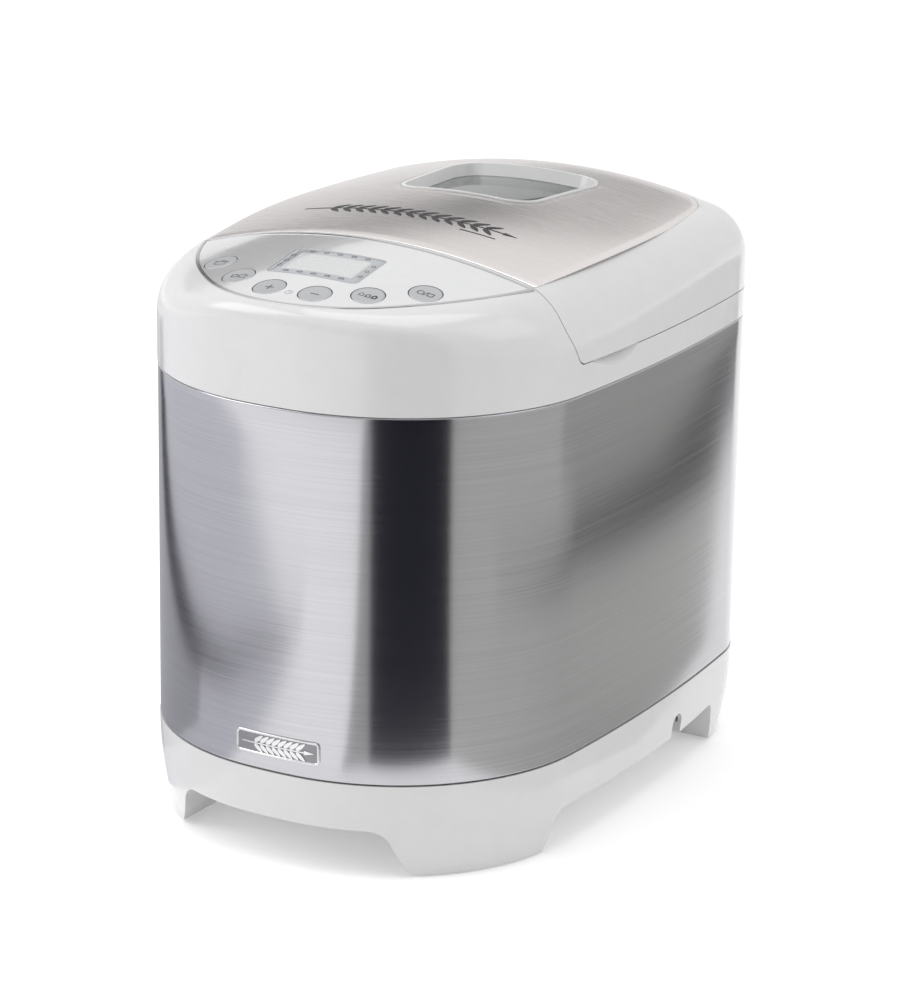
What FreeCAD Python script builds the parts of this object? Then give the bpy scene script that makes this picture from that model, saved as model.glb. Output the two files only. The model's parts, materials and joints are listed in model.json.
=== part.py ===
"""Bread machine: a loaf-pan kneader and oven in a crowned housing with a rear-hinged lid.

Frame: millimetres, +Z up, the front faces -Y, the origin is at the middle of the footprint
on the floor. Every driving size is a cell of the sheet "dims"; every piece is bound to it.
"""
import FreeCAD, Part
import Sketcher
import math
import os
import re
from FreeCAD import Placement, Rotation, Vector

doc = FreeCAD.newDocument("bread_machine")
sheet = doc.addObject("Spreadsheet::Sheet", "dims")
PIECES = []

CELLS = {
    # plan outline: eight tangent arcs
    "half_width": 119.8, "half_depth": 175, "front_arc": 236, "side_arc": 1070,
    "front_corner": 108.8, "rear_arc": 210, "rear_corner": 60,
    # levels
    "floor_lift": 0.8, "skirt_top": 50.7, "wrap_low": 51.1, "wrap_high": 240.3, "upper_low": 240.7,
    "wall": 2.8, "sheet_steel": 0.8, "seam_gap": 0.5, "running": 0.03,
    # crown of the top
    "crown_high": 314.8, "crown_y": 23, "crown_front_arc": 774, "crown_rear_arc": 3000,
    "roll_y": 100, "roll_arc": 100, "crown_cross_arc": 352,
    "edge_front": 9, "edge_side": 30, "edge_rear": 40,
    # skirt, arches and feet
    "skirt_flare": 6.5, "tray_low": 26, "tray_high": 29, "front_arch_high": 26,
    "front_arch_half": 59.5, "front_arch_leg": 64.8, "front_arch_foot": 70.8, "arch_leg_z": 9,
    "arch_side_high": 23.4, "arch_side_rise": 25.6, "side_arch_front": -80.5,
    "side_arch_leg": -84, "side_foot_front": -87.2, "side_arch_rear": 97, "side_foot_rear": 108,
    "foot_x": 85, "foot_front_y": -104, "foot_rear_y": 125, "pad_r": 7, "pad_boss_r": 8,
    "notch_y": 47.5, "notch_half": 5.8, "notch_high": 35.4,
    "gland_z": 27.4, "gland_r": 4.2, "gland_bore_r": 3.3, "gland_in": 90, "gland_out": 106,
    "cover_x": 44, "cover_y": 108, "cover_open_x": 35, "cover_open_y": 96, "cover_thick": 1.2,
    # lid seam and hinge
    "lid_front": -84, "seam_turn": 275, "seam_foot": -73, "lid_low": 256,
    "hinge_y": 163.5, "hinge_z": 259, "hinge_boss_r": 14.4, "hinge_clear_r": 15, "barrel_r": 9,
    "barrel_half": 31.8, "boss_in": 32.5, "boss_out": 69, "pin_r": 2, "pin_half": 24,
    "scoop_y": -41, "scoop_x": 173.7, "scoop_z": 297.1, "scoop_r": 72.9,
    # control panel
    "panel_rear": -86, "panel_nose": -169.5, "panel_nose_r": 80,
    "panel_flank_r": 153, "panel_thick": 2.2, "trim_width": 1.5, "trim_proud": 0.25,
    "button_r": 8.3, "button_hole_r": 8.75, "button_travel": 0.8, "button_tall": 5,
    "lcd_x": 26.3, "lcd_front": -138, "lcd_rear": -107, "lcd_corner": 3, "lens_thick": 1.4,
    # lid top
    "inlay_front": -83.2, "inlay_half": 103.2, "inlay_mid": 4, "inlay_side_arc": 505,
    "inlay_corner": 42, "inlay_rear": 131, "inlay_rear_arc": 400, "inlay_thick": 0.8,
    "window_half": 47, "window_front": 7, "window_rear": 88, "window_taper": 6, "window_corner": 16,
    "rim_width": 5, "rim_proud": 0.5, "glass_deep": 6, "glass_thick": 3,
    # chamber and pan
    "pan_y": 42, "chamber_x": 88, "chamber_half_y": 98, "chamber_corner": 24, "chamber_low": 86,
    "chamber_high": 249.6, "flange_width": 7, "pan_x": 68, "pan_half_y": 80, "pan_corner": 24,
    "pan_low": 97, "pan_high": 237, "pan_wall": 1.4, "deck_x": 86, "deck_half_y": 96,
    "liner_x": 94, "liner_front": -66, "liner_rear": 146, "liner_corner": 26, "liner_low": 257.2,
    "dome_x": 82, "dome_front": -52, "dome_rear": 134, "dome_corner": 22, "dome_high": 277,
    # drive
    "chassis_low": 58, "chassis_thick": 1.2, "shaft_r": 4, "drive_pulley_r": 45, "motor_pulley_r": 9,
    "belt_low": 65, "belt_high": 73, "belt_thick": 2.4, "belt_gap": 0.3, "motor_y": -112,
    "motor_r": 33, "motor_low": 84, "motor_high": 146, "motor_shaft_r": 3,
    "heater_r": 3.2, "heater_z": 104, "heater_x": 78, "heater_half_y": 89, "heater_corner": 26,
    # badge
    "badge_left": -19.3, "badge_right": 29.1, "badge_low": 59, "badge_high": 71,
    "badge_corner": 2.6, "badge_proud": 0.7,
}

for row, (alias, number) in enumerate(CELLS.items(), start=1):
    sheet.set("A%d" % row, alias)
    sheet.set("B%d" % row, str(number))
    sheet.setAlias("B%d" % row, alias)
doc.recompute()


class Dims:
    """Reads a cell of the sheet by its alias."""

    def __getattr__(self, alias):
        return float(sheet.get(alias))


d = Dims()


def expr(text):
    """Turn cell names in a formula into references to the sheet."""
    return re.sub(r"[a-z_]{3,}", lambda word: "dims." + word.group() if word.group() in CELLS
                  else word.group(), str(text))


def bind(item, **formulas):
    for path, text in formulas.items():
        item.setExpression(path.replace("__", "."), expr(text))
    return item


def place(item, x="0", y="0", z="0"):
    return bind(item, Placement__Base__x=x, Placement__Base__y=y, Placement__Base__z=z)


def piece(item, label):
    """Name a finished sub-part; its label is its node and file name."""
    item.Label = label
    PIECES.append(item)
    return item


def coded(label, shape):
    """A sub-part whose shape the sheet's values make through Part's own functions."""
    item = doc.addObject("Part::Feature", label + "_shape")
    item.Shape = shape
    item.Placement = Placement()
    return piece(item, label)


# ---------------------------------------------------------------- Part primitives, bound

def box(name, x, y, z, low_x="0", low_y="0", low_z="0"):
    item = doc.addObject("Part::Box", name)
    bind(item, Length=x, Width=y, Height=z)
    return place(item, low_x, low_y, low_z)


def cylinder(name, radius, height, x="0", y="0", z="0", turn=None):
    item = doc.addObject("Part::Cylinder", name)
    bind(item, Radius=radius, Height=height)
    if turn:
        item.Placement = Placement(Vector(), turn)
    return place(item, x, y, z)


ALONG_X = Rotation(Vector(0, 1, 0), 90)
ALONG_Y = Rotation(Vector(1, 0, 0), -90)


def cut(name, base, tool):
    item = doc.addObject("Part::Cut", name)
    item.Base = base
    item.Tool = tool
    return item


def fuse(name, *shapes):
    item = doc.addObject("Part::MultiFuse", name)
    item.Shapes = list(shapes)
    return item


def group(name, items):
    """Several separate solids of one kind in one node."""
    item = doc.addObject("Part::Compound", name)
    item.Links = list(items)
    return item


def tube(name, outer, inner, height, x="0", y="0", z="0"):
    return cut(name, cylinder(name + "_outer", outer, height, x, y, z),
               cylinder(name + "_bore", inner, "%s + 2" % height, x, y, "%s - 1" % z))


# ---------------------------------------------------------------- bodies, sketches, features

def body(label):
    return piece(doc.addObject("PartDesign::Body", label), label)


def sketch(item, name, level="0", role="XY_Plane"):
    drawing = item.newObject("Sketcher::SketchObject", name)
    plane = next(f for f in item.Origin.OriginFeatures if f.Role == role)
    drawing.AttachmentSupport = [(plane, "")]
    drawing.MapMode = "FlatFace"
    drawing.setExpression("AttachmentOffset.Base.z", expr(level))
    return drawing


def limit(drawing, kind, *where, formula):
    """A dimension of a sketch, bound to the sheet."""
    index = drawing.addConstraint(Sketcher.Constraint(kind, *where))
    drawing.setExpression("Constraints[%d]" % index, expr(formula))


def feature(item, kind, profile, length=None, both=False, **more):
    made = item.newObject("PartDesign::" + kind, profile.Name + "_" + kind.lower())
    made.Profile = profile
    if length:
        made.setExpression("Length", expr(length))
    if both:
        made.Midplane = True
    for key, value in more.items():
        setattr(made, key, value)
    profile.Visibility = False
    return made


def value_of(formula):
    return float(eval_formula(formula))


def eval_formula(formula):
    """The number that a formula of cells has now, asked of the sheet itself."""
    sheet.set("D1", "=" + re.sub(r"dims\.", "", expr(formula)))
    sheet.recompute()
    return sheet.get("D1")


def circle(drawing, radius, x="0", y="0"):
    index = drawing.addGeometry(Part.Circle(Vector(value_of(x), value_of(y), 0), Vector(0, 0, 1),
                                            value_of(radius)))
    limit(drawing, "Radius", index, value_of(radius), formula=radius)
    limit(drawing, "DistanceX", -1, 1, index, 3, value_of(x), formula=x)
    limit(drawing, "DistanceY", -1, 1, index, 3, value_of(y), formula=y)


def rounded_rectangle(drawing, half_x, half_y, corner, mid_y="0"):
    """A rectangle about (0, mid_y) with rounded corners, every size bound."""
    hx, hy, r, my = (value_of(t) for t in (half_x, half_y, corner, mid_y))
    start = []
    for quarter in range(4):
        angle = math.pi / 2 * quarter
        sx, sy = ((1, -1), (1, 1), (-1, 1), (-1, -1))[quarter]
        centre = Vector(sx * (hx - r), my + sy * (hy - r), 0)
        a = centre + Vector(math.cos(angle - math.pi / 2), math.sin(angle - math.pi / 2), 0) * r
        m = centre + Vector(math.cos(angle - math.pi / 4), math.sin(angle - math.pi / 4), 0) * r
        b = centre + Vector(math.cos(angle), math.sin(angle), 0) * r
        start.append((a, m, b))
    ids = []
    for quarter in range(4):
        a, m, b = start[quarter]
        following = start[(quarter + 1) % 4][0]
        ids.append(drawing.addGeometry(Part.Arc(a, m, b)))
        ids.append(drawing.addGeometry(Part.LineSegment(b, following)))
    for n in range(8):
        drawing.addConstraint(Sketcher.Constraint("Tangent", ids[n], 2, ids[(n + 1) % 8], 1))
    for n, kind in zip((1, 3, 5, 7), ("Vertical", "Horizontal", "Vertical", "Horizontal")):
        drawing.addConstraint(Sketcher.Constraint(kind, ids[n]))
    for n in (0, 2, 4, 6):
        limit(drawing, "Radius", ids[n], r, formula=corner)
    limit(drawing, "DistanceX", -1, 1, ids[1], 1, hx, formula=half_x)
    limit(drawing, "DistanceY", -1, 1, ids[3], 1, my + hy, formula="%s + %s" % (mid_y, half_y))
    limit(drawing, "DistanceX", -1, 1, ids[5], 1, -hx, formula="-(%s)" % half_x)
    limit(drawing, "DistanceY", -1, 1, ids[7], 1, my - hy, formula="%s - (%s)" % (mid_y, half_y))


def circle_meet(centre_a, radius_a, centre_b, radius_b, side):
    """Where two circles meet, on the front (-1) or rear (+1) side."""
    span = centre_b - centre_a
    along = (radius_a ** 2 - radius_b ** 2 + span.Length ** 2) / (2 * span.Length)
    offset = math.sqrt(radius_a ** 2 - along ** 2)
    unit = span / span.Length
    normal = Vector(-unit.y, unit.x, 0)
    points = (unit * along + normal * offset, unit * along - normal * offset)
    return centre_a + max(points, key=lambda point: (centre_a + point).y * side)


def outline_arcs(front=0, side=0, rear=0):
    """The eight tangent arcs of the plan outline, moved inwards at front, side and rear."""
    front_c = Vector(0, d.front_arc - d.half_depth, 0)
    side_c = Vector(d.half_width - d.side_arc, 0, 0)
    rear_c = Vector(0, d.half_depth - d.rear_arc, 0)
    front_r, side_r, rear_r = d.front_arc - front, d.side_arc - side, d.rear_arc - rear
    near_r, far_r = d.front_corner - side, d.rear_corner - side
    near_c = circle_meet(front_c, front_r - near_r, side_c, side_r - near_r, -1)
    far_c = circle_meet(rear_c, rear_r - far_r, side_c, side_r - far_r, 1)

    def reach(centre, radius, through):
        return centre + (through - centre).normalize() * radius

    a = reach(front_c, front_r, near_c)
    b = reach(side_c, side_r, near_c)
    c = reach(side_c, side_r, far_c)
    e = reach(rear_c, rear_r, far_c)

    def other(point):
        return Vector(-point.x, point.y, 0)

    def arc(centre, radius, start, end):
        middle = reach(centre, radius, (start + end) * 0.5)
        return Part.Arc(start, middle, end)

    return [arc(front_c, front_r, other(a), a), arc(near_c, near_r, a, b),
            arc(side_c, side_r, b, c), arc(far_c, far_r, c, e),
            arc(rear_c, rear_r, e, other(e)), arc(other(far_c), far_r, other(e), other(c)),
            arc(other(side_c), side_r, other(c), other(b)),
            arc(other(near_c), near_r, other(b), other(a))]


def outline_wire(front=0, side=None, rear=None, level=0):
    side = front if side is None else side
    rear = side if rear is None else rear
    wire = Part.Wire([arc.toShape() for arc in outline_arcs(front, side, rear)])
    wire.translate(Vector(0, 0, level))
    return wire


def outline_sketch(item, name, level, inset):
    """The plan outline as a sketch, its arcs tangent and their radii bound."""
    drawing = sketch(item, name, level)
    arcs = outline_arcs(*[value_of(inset)] * 3)
    ids = [drawing.addGeometry(arc) for arc in arcs]
    for n in range(8):
        drawing.addConstraint(Sketcher.Constraint("Tangent", ids[n], 2, ids[(n + 1) % 8], 1))
    centres = {0: ("0", "front_arc - half_depth"), 2: ("half_width - side_arc", "0"),
               4: ("0", "half_depth - rear_arc"), 6: ("side_arc - half_width", "0")}
    for n, (x, y) in centres.items():
        limit(drawing, "DistanceX", -1, 1, ids[n], 3, value_of(x), formula=x)
        limit(drawing, "DistanceY", -1, 1, ids[n], 3, value_of(y), formula=y)
    cells = ("front_arc", "front_corner", "side_arc", "rear_corner", "rear_arc", "rear_corner",
             "side_arc", "front_corner")
    for n, cell in enumerate(cells):
        formula = "%s - (%s)" % (cell, inset)
        limit(drawing, "Radius", ids[n], value_of(formula), formula=formula)
    return drawing


def rounded_edges(points, radii, closed=True):
    """Straight edges through the points with a tangent arc of its radius at each corner."""
    count = len(points)
    cut_in, arcs = [], []
    for n in range(count):
        here = points[n]
        if radii[n] == 0 or (not closed and n in (0, count - 1)):
            cut_in.append((here, here))
            arcs.append(None)
            continue
        back = (points[n - 1] - here).normalize()
        ahead = (points[(n + 1) % count] - here).normalize()
        half = back.getAngle(ahead) / 2
        reach = radii[n] / math.tan(half)
        bisector = (back + ahead).normalize()
        centre = here + bisector * (radii[n] / math.sin(half))
        cut_in.append((here + back * reach, here + ahead * reach))
        arcs.append(Part.Arc(here + back * reach, centre - bisector * radii[n],
                             here + ahead * reach))
    edges = []
    for n in range(count):
        if arcs[n]:
            edges.append(arcs[n].toShape())
        if closed or n < count - 1:
            start, end = cut_in[n][1], cut_in[(n + 1) % count][0]
            if (end - start).Length > 1e-6:
                edges.append(Part.LineSegment(start, end).toShape())
    return edges


def prism(wire, low, high):
    """A vertical prism on a flat wire, whatever level the wire was drawn at."""
    face = Part.Face(wire)
    face.translate(Vector(0, 0, low - wire.BoundBox.ZMin))
    return face.extrude(Vector(0, 0, high - low))


def side_prism(points, radii):
    """A prism along X, wider than the machine, from a profile of (y, z) corners."""
    reach = d.half_width + 20
    corners = [Vector(-reach, y, z) for y, z in points]
    return Part.Face(Part.Wire(rounded_edges(corners, radii))).extrude(Vector(2 * reach, 0, 0))


def rod_x(radius, low_x, high_x, y, z):
    return Part.makeCylinder(radius, high_x - low_x, Vector(low_x, y, z), Vector(1, 0, 0))


# ---------------------------------------------------------------- the crown of the top

SKY = 345.0


def crown_height(x, y):
    """Height of the top surface: a shallow arch both ways that rolls down at the rear."""
    length = d.crown_front_arc if y < d.crown_y else d.crown_rear_arc
    height = d.crown_high - (y - d.crown_y) ** 2 / (2 * length) - x * x / (2 * d.crown_cross_arc)
    if y > d.roll_y:
        height -= (y - d.roll_y) ** 2 / (2 * d.roll_arc)
    return height


def crown_slope(x, y):
    """Unit normal of the crown."""
    rise = (y - d.crown_y) / (d.crown_front_arc if y < d.crown_y else d.crown_rear_arc)
    return Vector(x / d.crown_cross_arc, rise, 1).normalize()


def crown_face(offset):
    step, reach_x, reach_y = 10, 130, 190
    rows = [[Vector(x, y, crown_height(x, y) + offset)
             for y in range(-reach_y, reach_y + 1, step)]
            for x in range(-reach_x, reach_x + 1, 2 * step)]
    surface = Part.BSplineSurface()
    surface.interpolate(rows)
    return surface.toShape()


def crown_layer(high, low):
    """The layer between two copies of the crown."""
    return crown_face(low).extrude(Vector(0, 0, high - low))


def crowned_form(name, inset, low):
    """The outline raised to the crown, its top edge rounded wider at the sides."""
    block = prism(outline_wire(inset), low, SKY)
    blank = doc.addObject("Part::Feature", name + "_blank")
    blank.Shape = block.cut(crown_layer(SKY - d.upper_low, -inset))
    rounded = doc.addObject("Part::Fillet", name)
    rounded.Base = blank
    top = d.crown_high - 45

    arcs = outline_arcs()
    flat, full = arcs[1].StartPoint.x, arcs[1].EndPoint.x

    def radius_at(point):
        if point.y > d.roll_y:
            return d.edge_rear - inset
        share = min(max((abs(point.x) - flat) / (full - flat), 0), 1)
        return d.edge_front + (d.edge_side - d.edge_front) * share - inset

    edges = []
    for number, edge in enumerate(blank.Shape.Edges, start=1):
        box_of_edge = edge.optimalBoundingBox()
        if box_of_edge.ZMin > top and box_of_edge.XLength + box_of_edge.YLength > 1:
            ends = edge.valueAt(edge.FirstParameter), edge.valueAt(edge.LastParameter)
            edges.append((number, radius_at(ends[0]), radius_at(ends[1])))
    rounded.Edges = edges
    doc.recompute()
    return rounded.Shape


# ---------------------------------------------------------------- base

def base_housing():
    base = body("base_housing")
    lift, top = "floor_lift", "skirt_top"
    levels = [lift, "8", "17", "27", "38", top]
    sections = []
    for n, level in enumerate(levels):
        inset = "skirt_flare * (1 - (%s) / skirt_top) ^ 2" % level if level != top else "0"
        sections.append(outline_sketch(base, "base_section_%d" % n, level, inset))
    skirt = feature(base, "AdditiveLoft", sections[0])
    skirt.Sections = sections[1:]
    inside = outline_sketch(base, "base_inside", top, "wall + 0.6")
    feature(base, "Pocket", inside, "skirt_top - tray_high")
    boss = sketch(base, "gland_boss", "tray_high - 1")
    rounded_block(boss, d.gland_in - 14, d.half_width - 6, d.notch_y - 10, d.notch_y + 10)
    feature(base, "Pad", boss, "8")
    half_arch = [(d.front_arch_foot, -2), (d.front_arch_leg, d.arch_leg_z),
                 (d.front_arch_half, d.front_arch_high)]
    tunnel(base, "front_arch", "XZ_Plane",
           half_arch + [(-x, z) for x, z in reversed(half_arch)], (0, 25, 11, 11, 25, 0))
    tunnel(base, "side_arch", "YZ_Plane",
           [(d.side_foot_front, -2), (d.side_arch_leg, d.arch_leg_z),
            (d.side_arch_front, d.arch_side_high), (d.notch_y + 5, d.arch_side_high),
            (d.side_arch_rear, d.arch_side_rise), (d.side_foot_rear, -2)],
           (0, 25, 11, 40, 5, 0))
    notch = sketch(base, "cord_notch", "gland_out - 2", "YZ_Plane")
    low, high = d.notch_y - d.notch_half, d.notch_y + d.notch_half
    draw(notch, rounded_edges([Vector(low, 8, 0), Vector(high, 8, 0),
                               Vector(high, d.notch_high, 0), Vector(low, d.notch_high, 0)],
                              (0, 0, 5.4, 5.4)))
    feature(base, "Pocket", notch, "half_width", Reversed=True)
    gland_seat = sketch(base, "gland_seat", "gland_out", "YZ_Plane")
    circle(gland_seat, "gland_r + 0.02", "notch_y", "gland_z")
    feature(base, "Pocket", gland_seat, "gland_out - gland_in + 10")
    channel = sketch(base, "cord_channel", "tray_high + 8")
    rounded_block(channel, d.gland_in - 12, d.gland_in + 2, d.notch_y - 7, d.notch_y + 7)
    feature(base, "Pocket", channel, "8 + tray_high - gland_z + 3.4")
    opening = sketch(base, "base_opening", top)
    rounded_rectangle(opening, "cover_open_x", "cover_open_y", "10")
    feature(base, "Pocket", opening, "skirt_top")
    for n, (x, y) in enumerate(foot_places()):
        core = sketch(base, "foot_core_%d" % n, top)
        circle(core, "pad_boss_r - 2", x, y)
        feature(base, "Pocket", core, "skirt_top - 5")
        seat = sketch(base, "foot_seat_%d" % n, lift)
        circle(seat, "pad_r + 0.05", x, y)
        feature(base, "Pocket", seat, "1.2", Reversed=True)


def foot_places():
    return [("%sfoot_x" % side, y) for y in ("foot_front_y", "foot_rear_y")
            for side in ("", "-")]


def rounded_block(drawing, low_x, high_x, low_y, high_y):
    draw(drawing, rounded_edges([Vector(low_x, low_y, 0), Vector(high_x, low_y, 0),
                                 Vector(high_x, high_y, 0), Vector(low_x, high_y, 0)], [2] * 4))


def draw(drawing, edges):
    """Put straight and round edges into a sketch."""
    for edge in edges:
        curve = edge.Curve
        first, last = edge.valueAt(edge.FirstParameter), edge.valueAt(edge.LastParameter)
        if curve.TypeId == "Part::GeomLine":
            drawing.addGeometry(Part.LineSegment(first, last))
        else:
            middle = edge.valueAt((edge.FirstParameter + edge.LastParameter) / 2)
            drawing.addGeometry(Part.Arc(first, middle, last))


def tunnel(item, name, role, corners, radii):
    """A gap cut right through under the base, between its feet."""
    drawing = sketch(item, name, "0", role)
    draw(drawing, rounded_edges([Vector(a, b, 0) for a, b in corners], radii))
    return feature(item, "Pocket", drawing, "4 * half_depth", both=True)


base_housing()
piece(group("rubber_feet", [cylinder("foot_%d" % n, "pad_r", "2", x, y, "0")
                            for n, (x, y) in enumerate(foot_places())]), "rubber_feet")

cover = body("bottom_cover")
cover_plan = sketch(cover, "cover_plan", "tray_low - 0.1 - cover_thick")
rounded_rectangle(cover_plan, "cover_x", "cover_y", "8")
feature(cover, "Pad", cover_plan, "cover_thick")
for n in range(7):
    slot = sketch(cover, "cover_slot_%d" % n, "tray_low")
    rounded_rectangle(slot, "30", "2", "1.9", "%d" % (-78 + 12 * n))
    feature(cover, "Pocket", slot, "4")

piece(cut("cord_gland", fuse("gland_bush", cylinder(
    "gland_sleeve", "gland_r", "gland_out - gland_in", "gland_in", "notch_y", "gland_z", ALONG_X),
    cylinder("gland_lip", "gland_r + 0.25", "1.9", "gland_out - 1.95", "notch_y", "gland_z",
             ALONG_X)),
          cylinder("gland_bore", "gland_bore_r", "gland_out - gland_in + 2", "gland_in - 1",
                   "notch_y", "gland_z", ALONG_X)), "cord_gland")

# ---------------------------------------------------------------- wrap and chassis

wrap = body("steel_wrap")
feature(wrap, "Pad", outline_sketch(wrap, "wrap_outside", "wrap_low", "0.3"),
        "wrap_high - wrap_low")
feature(wrap, "Pocket", outline_sketch(wrap, "wrap_inside", "wrap_high", "0.3 + sheet_steel"),
        "wrap_high - wrap_low")

chassis = body("chassis_plate")
feature(chassis, "Pad", outline_sketch(chassis, "chassis_plan", "chassis_low", "6"),
        "chassis_thick")
chassis_hole = sketch(chassis, "chassis_hole", "chassis_low + chassis_thick")
circle(chassis_hole, "shaft_r + 3", "0", "pan_y")
feature(chassis, "Pocket", chassis_hole, "4")


# ---------------------------------------------------------------- upper housing and panel


def lid_region(grow, inward=0):
    """The space of the lid behind its seam, grown all round, or its hollow, moved inwards."""
    front = d.lid_front - grow + inward
    foot = d.seam_foot - grow + inward
    low = d.lid_low - grow - inward
    rear = d.half_depth + 40
    return side_prism([(front, SKY), (front, d.seam_turn), (foot, low), (rear, low), (rear, SKY)],
                      (0, 20, 7, 0, 0))


def hinge_rod(radius, low_x, high_x):
    return rod_x(radius, low_x, high_x, d.hinge_y, d.hinge_z)


def panel_wire(inset, level):
    """The D of the control panel: a straight rear edge and a nose of two tangent arcs."""
    turn = math.radians(40)
    nose_r, flank_r = d.panel_nose_r - inset, d.panel_flank_r - inset
    nose_c = Vector(0, d.panel_nose + d.panel_nose_r, level)
    direction = Vector(math.sin(turn), -math.cos(turn), 0)
    flank_c = nose_c + direction * (d.panel_nose_r - d.panel_flank_r)
    rear = d.panel_rear - inset
    join = nose_c + direction * nose_r
    tip_angle = math.acos((flank_c.y - rear) / flank_r)
    tip = flank_c + Vector(math.sin(tip_angle), -math.cos(tip_angle), 0) * flank_r
    half = (turn + tip_angle) / 2
    middle = flank_c + Vector(math.sin(half), -math.cos(half), 0) * flank_r

    def other(point):
        return Vector(-point.x, point.y, point.z)

    nose = nose_c + Vector(0, -nose_r, 0)
    return Part.Wire([Part.Arc(other(join), nose, join).toShape(),
                      Part.Arc(join, middle, tip).toShape(),
                      Part.LineSegment(tip, other(tip)).toShape(),
                      Part.Arc(other(tip), other(middle), other(join)).toShape()])


def rounded_wire(half_x, low_y, high_y, corner, level=0):
    corners = [Vector(-half_x, low_y, level), Vector(half_x, low_y, level),
               Vector(half_x, high_y, level), Vector(-half_x, high_y, level)]
    return Part.Wire(rounded_edges(corners, [corner] * 4))


BUTTONS = ("menu", "loaf_size", "plus", "minus", "crust", "start_stop")
BUTTON_PLACES = ((-59.5, -127.3), (-37.4, -144.5), (-13.1, -154.2),
                 (13.1, -154.2), (37.4, -144.5), (59.5, -127.3))


def on_panel(x, y, depth):
    """The point this far below the panel's surface, along its normal."""
    return Vector(x, y, crown_height(x, y)) - crown_slope(x, y) * depth


def button_rods(radius, high, low):
    """Rods on the six button axes, from high above to low below the panel surface."""
    return [Part.makeCylinder(radius, high + low, on_panel(x, y, low), crown_slope(x, y))
            for x, y in BUTTON_PLACES]


def upper_housing():
    low = d.upper_low
    outer = crowned_form("housing_outside", 0, low)
    inner = crowned_form("housing_inside", d.wall, low - 1)
    shell = outer.cut(lid_region(d.seam_gap))
    shell = shell.cut(inner.cut(lid_region(d.seam_gap + d.wall)))
    deck_hole = prism(rounded_wire(d.deck_x, d.pan_y - d.deck_half_y, d.pan_y + d.deck_half_y,
                                   d.chamber_corner - 2), low, d.lid_low + 5)
    shell = shell.cut(deck_hole)
    bosses = [hinge_rod(d.hinge_boss_r, low_x, low_x + d.boss_out - d.boss_in)
              for low_x in (d.boss_in, -d.boss_out)]
    groove = hinge_rod(d.barrel_r + 0.6, -d.boss_in, d.boss_in)
    trough = hinge_rod(d.barrel_r + 0.6 + d.wall, -d.boss_in, d.boss_in)
    below_lid = prism(rounded_wire(d.half_width, 0, d.half_depth, 1), low, d.lid_low - d.seam_gap)
    shell = shell.fuse([boss.common(outer) for boss in bosses]
                       + [trough.common(outer).common(below_lid)])
    shell = shell.cut([groove, hinge_rod(d.pin_r + 0.02, -d.boss_out + 20, d.boss_out - 20)])
    recess = prism(panel_wire(-0.15, 0), d.lid_low, SKY).common(
        crown_layer(5, -d.panel_thick - 0.1))
    window = prism(panel_wire(8, 0), d.lid_low + 5, SKY)
    window = window.common(crown_layer(5, -d.panel_thick - 8))
    keep = prism(panel_wire(8, 0), d.lid_low, SKY).common(side_prism(
        [(d.lid_front - 6, d.lid_low), (0, d.lid_low), (0, SKY), (d.lid_front - 6, SKY)],
        (0, 0, 0, 0)))
    deck = d.lid_low - d.seam_gap
    scoops, backs = [], []
    for side in (1, -1):
        centre = Vector(side * d.scoop_x, d.scoop_y, d.scoop_z)
        scoops.append(Part.makeSphere(d.scoop_r, centre))
        back = Part.makeSphere(d.scoop_r + d.wall, centre).common(outer)
        backs.append(back.common(prism(rounded_wire(d.half_width, -120, 40, 1), low, deck)))
    shell = shell.fuse(backs)
    wells = button_rods(d.button_hole_r, 6, 12)
    return shell.cut([recess, window.cut(keep)] + scoops + wells).removeSplitter(), outer, inner


HOUSING, OUTER, INNER = upper_housing()
coded("upper_housing", HOUSING)

lcd_plan = rounded_wire(d.lcd_x, d.lcd_front, d.lcd_rear, d.lcd_corner)
fascia = prism(panel_wire(d.trim_width + 0.1, 0), d.lid_low, SKY).common(
    crown_layer(0, -d.panel_thick))
fascia = fascia.cut(button_rods(d.button_hole_r, 6, 12))
lcd_seat = prism(lcd_plan, d.lid_low, SKY).common(crown_layer(4, -d.lens_thick - 0.05))
lcd_hole = prism(rounded_wire(d.lcd_x - 2, d.lcd_front + 2, d.lcd_rear - 2, 2), d.lid_low, SKY)
coded("control_panel", fascia.cut([lcd_seat, lcd_hole]))

trim = prism(panel_wire(0, 0), d.lid_low, SKY).cut(
    prism(panel_wire(d.trim_width, 0), d.lid_low - 1, SKY))
coded("panel_trim", trim.common(crown_layer(d.trim_proud, -d.panel_thick)))

lens = prism(rounded_wire(d.lcd_x - 0.1, d.lcd_front + 0.1, d.lcd_rear - 0.1, d.lcd_corner - 0.1),
             d.lid_low, SKY)
coded("lcd_lens", lens.common(crown_layer(-0.05, -d.lens_thick)))


def tilted_box(name, x, y, z, mid_y, depth):
    """A board under the panel, parallel to the panel along its middle line."""
    item = doc.addObject("Part::Box", name)
    bind(item, Length=x, Width=y, Height=z)
    normal = crown_slope(0, mid_y)
    length, width = value_of(x), value_of(y)
    turn = Rotation(Vector(0, 0, 1), normal)
    origin = on_panel(0, mid_y, depth) + turn.multVec(Vector(-length / 2, -width / 2, 0))
    item.Placement = Placement(origin, turn)
    return item


piece(tilted_box("lcd_module_block", "2 * lcd_x - 6", "25", "4.5", -122.5, 7.2), "lcd_module")
piece(tilted_box("control_board_block", "118", "52", "1.6", -127, 18), "control_board")

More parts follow.
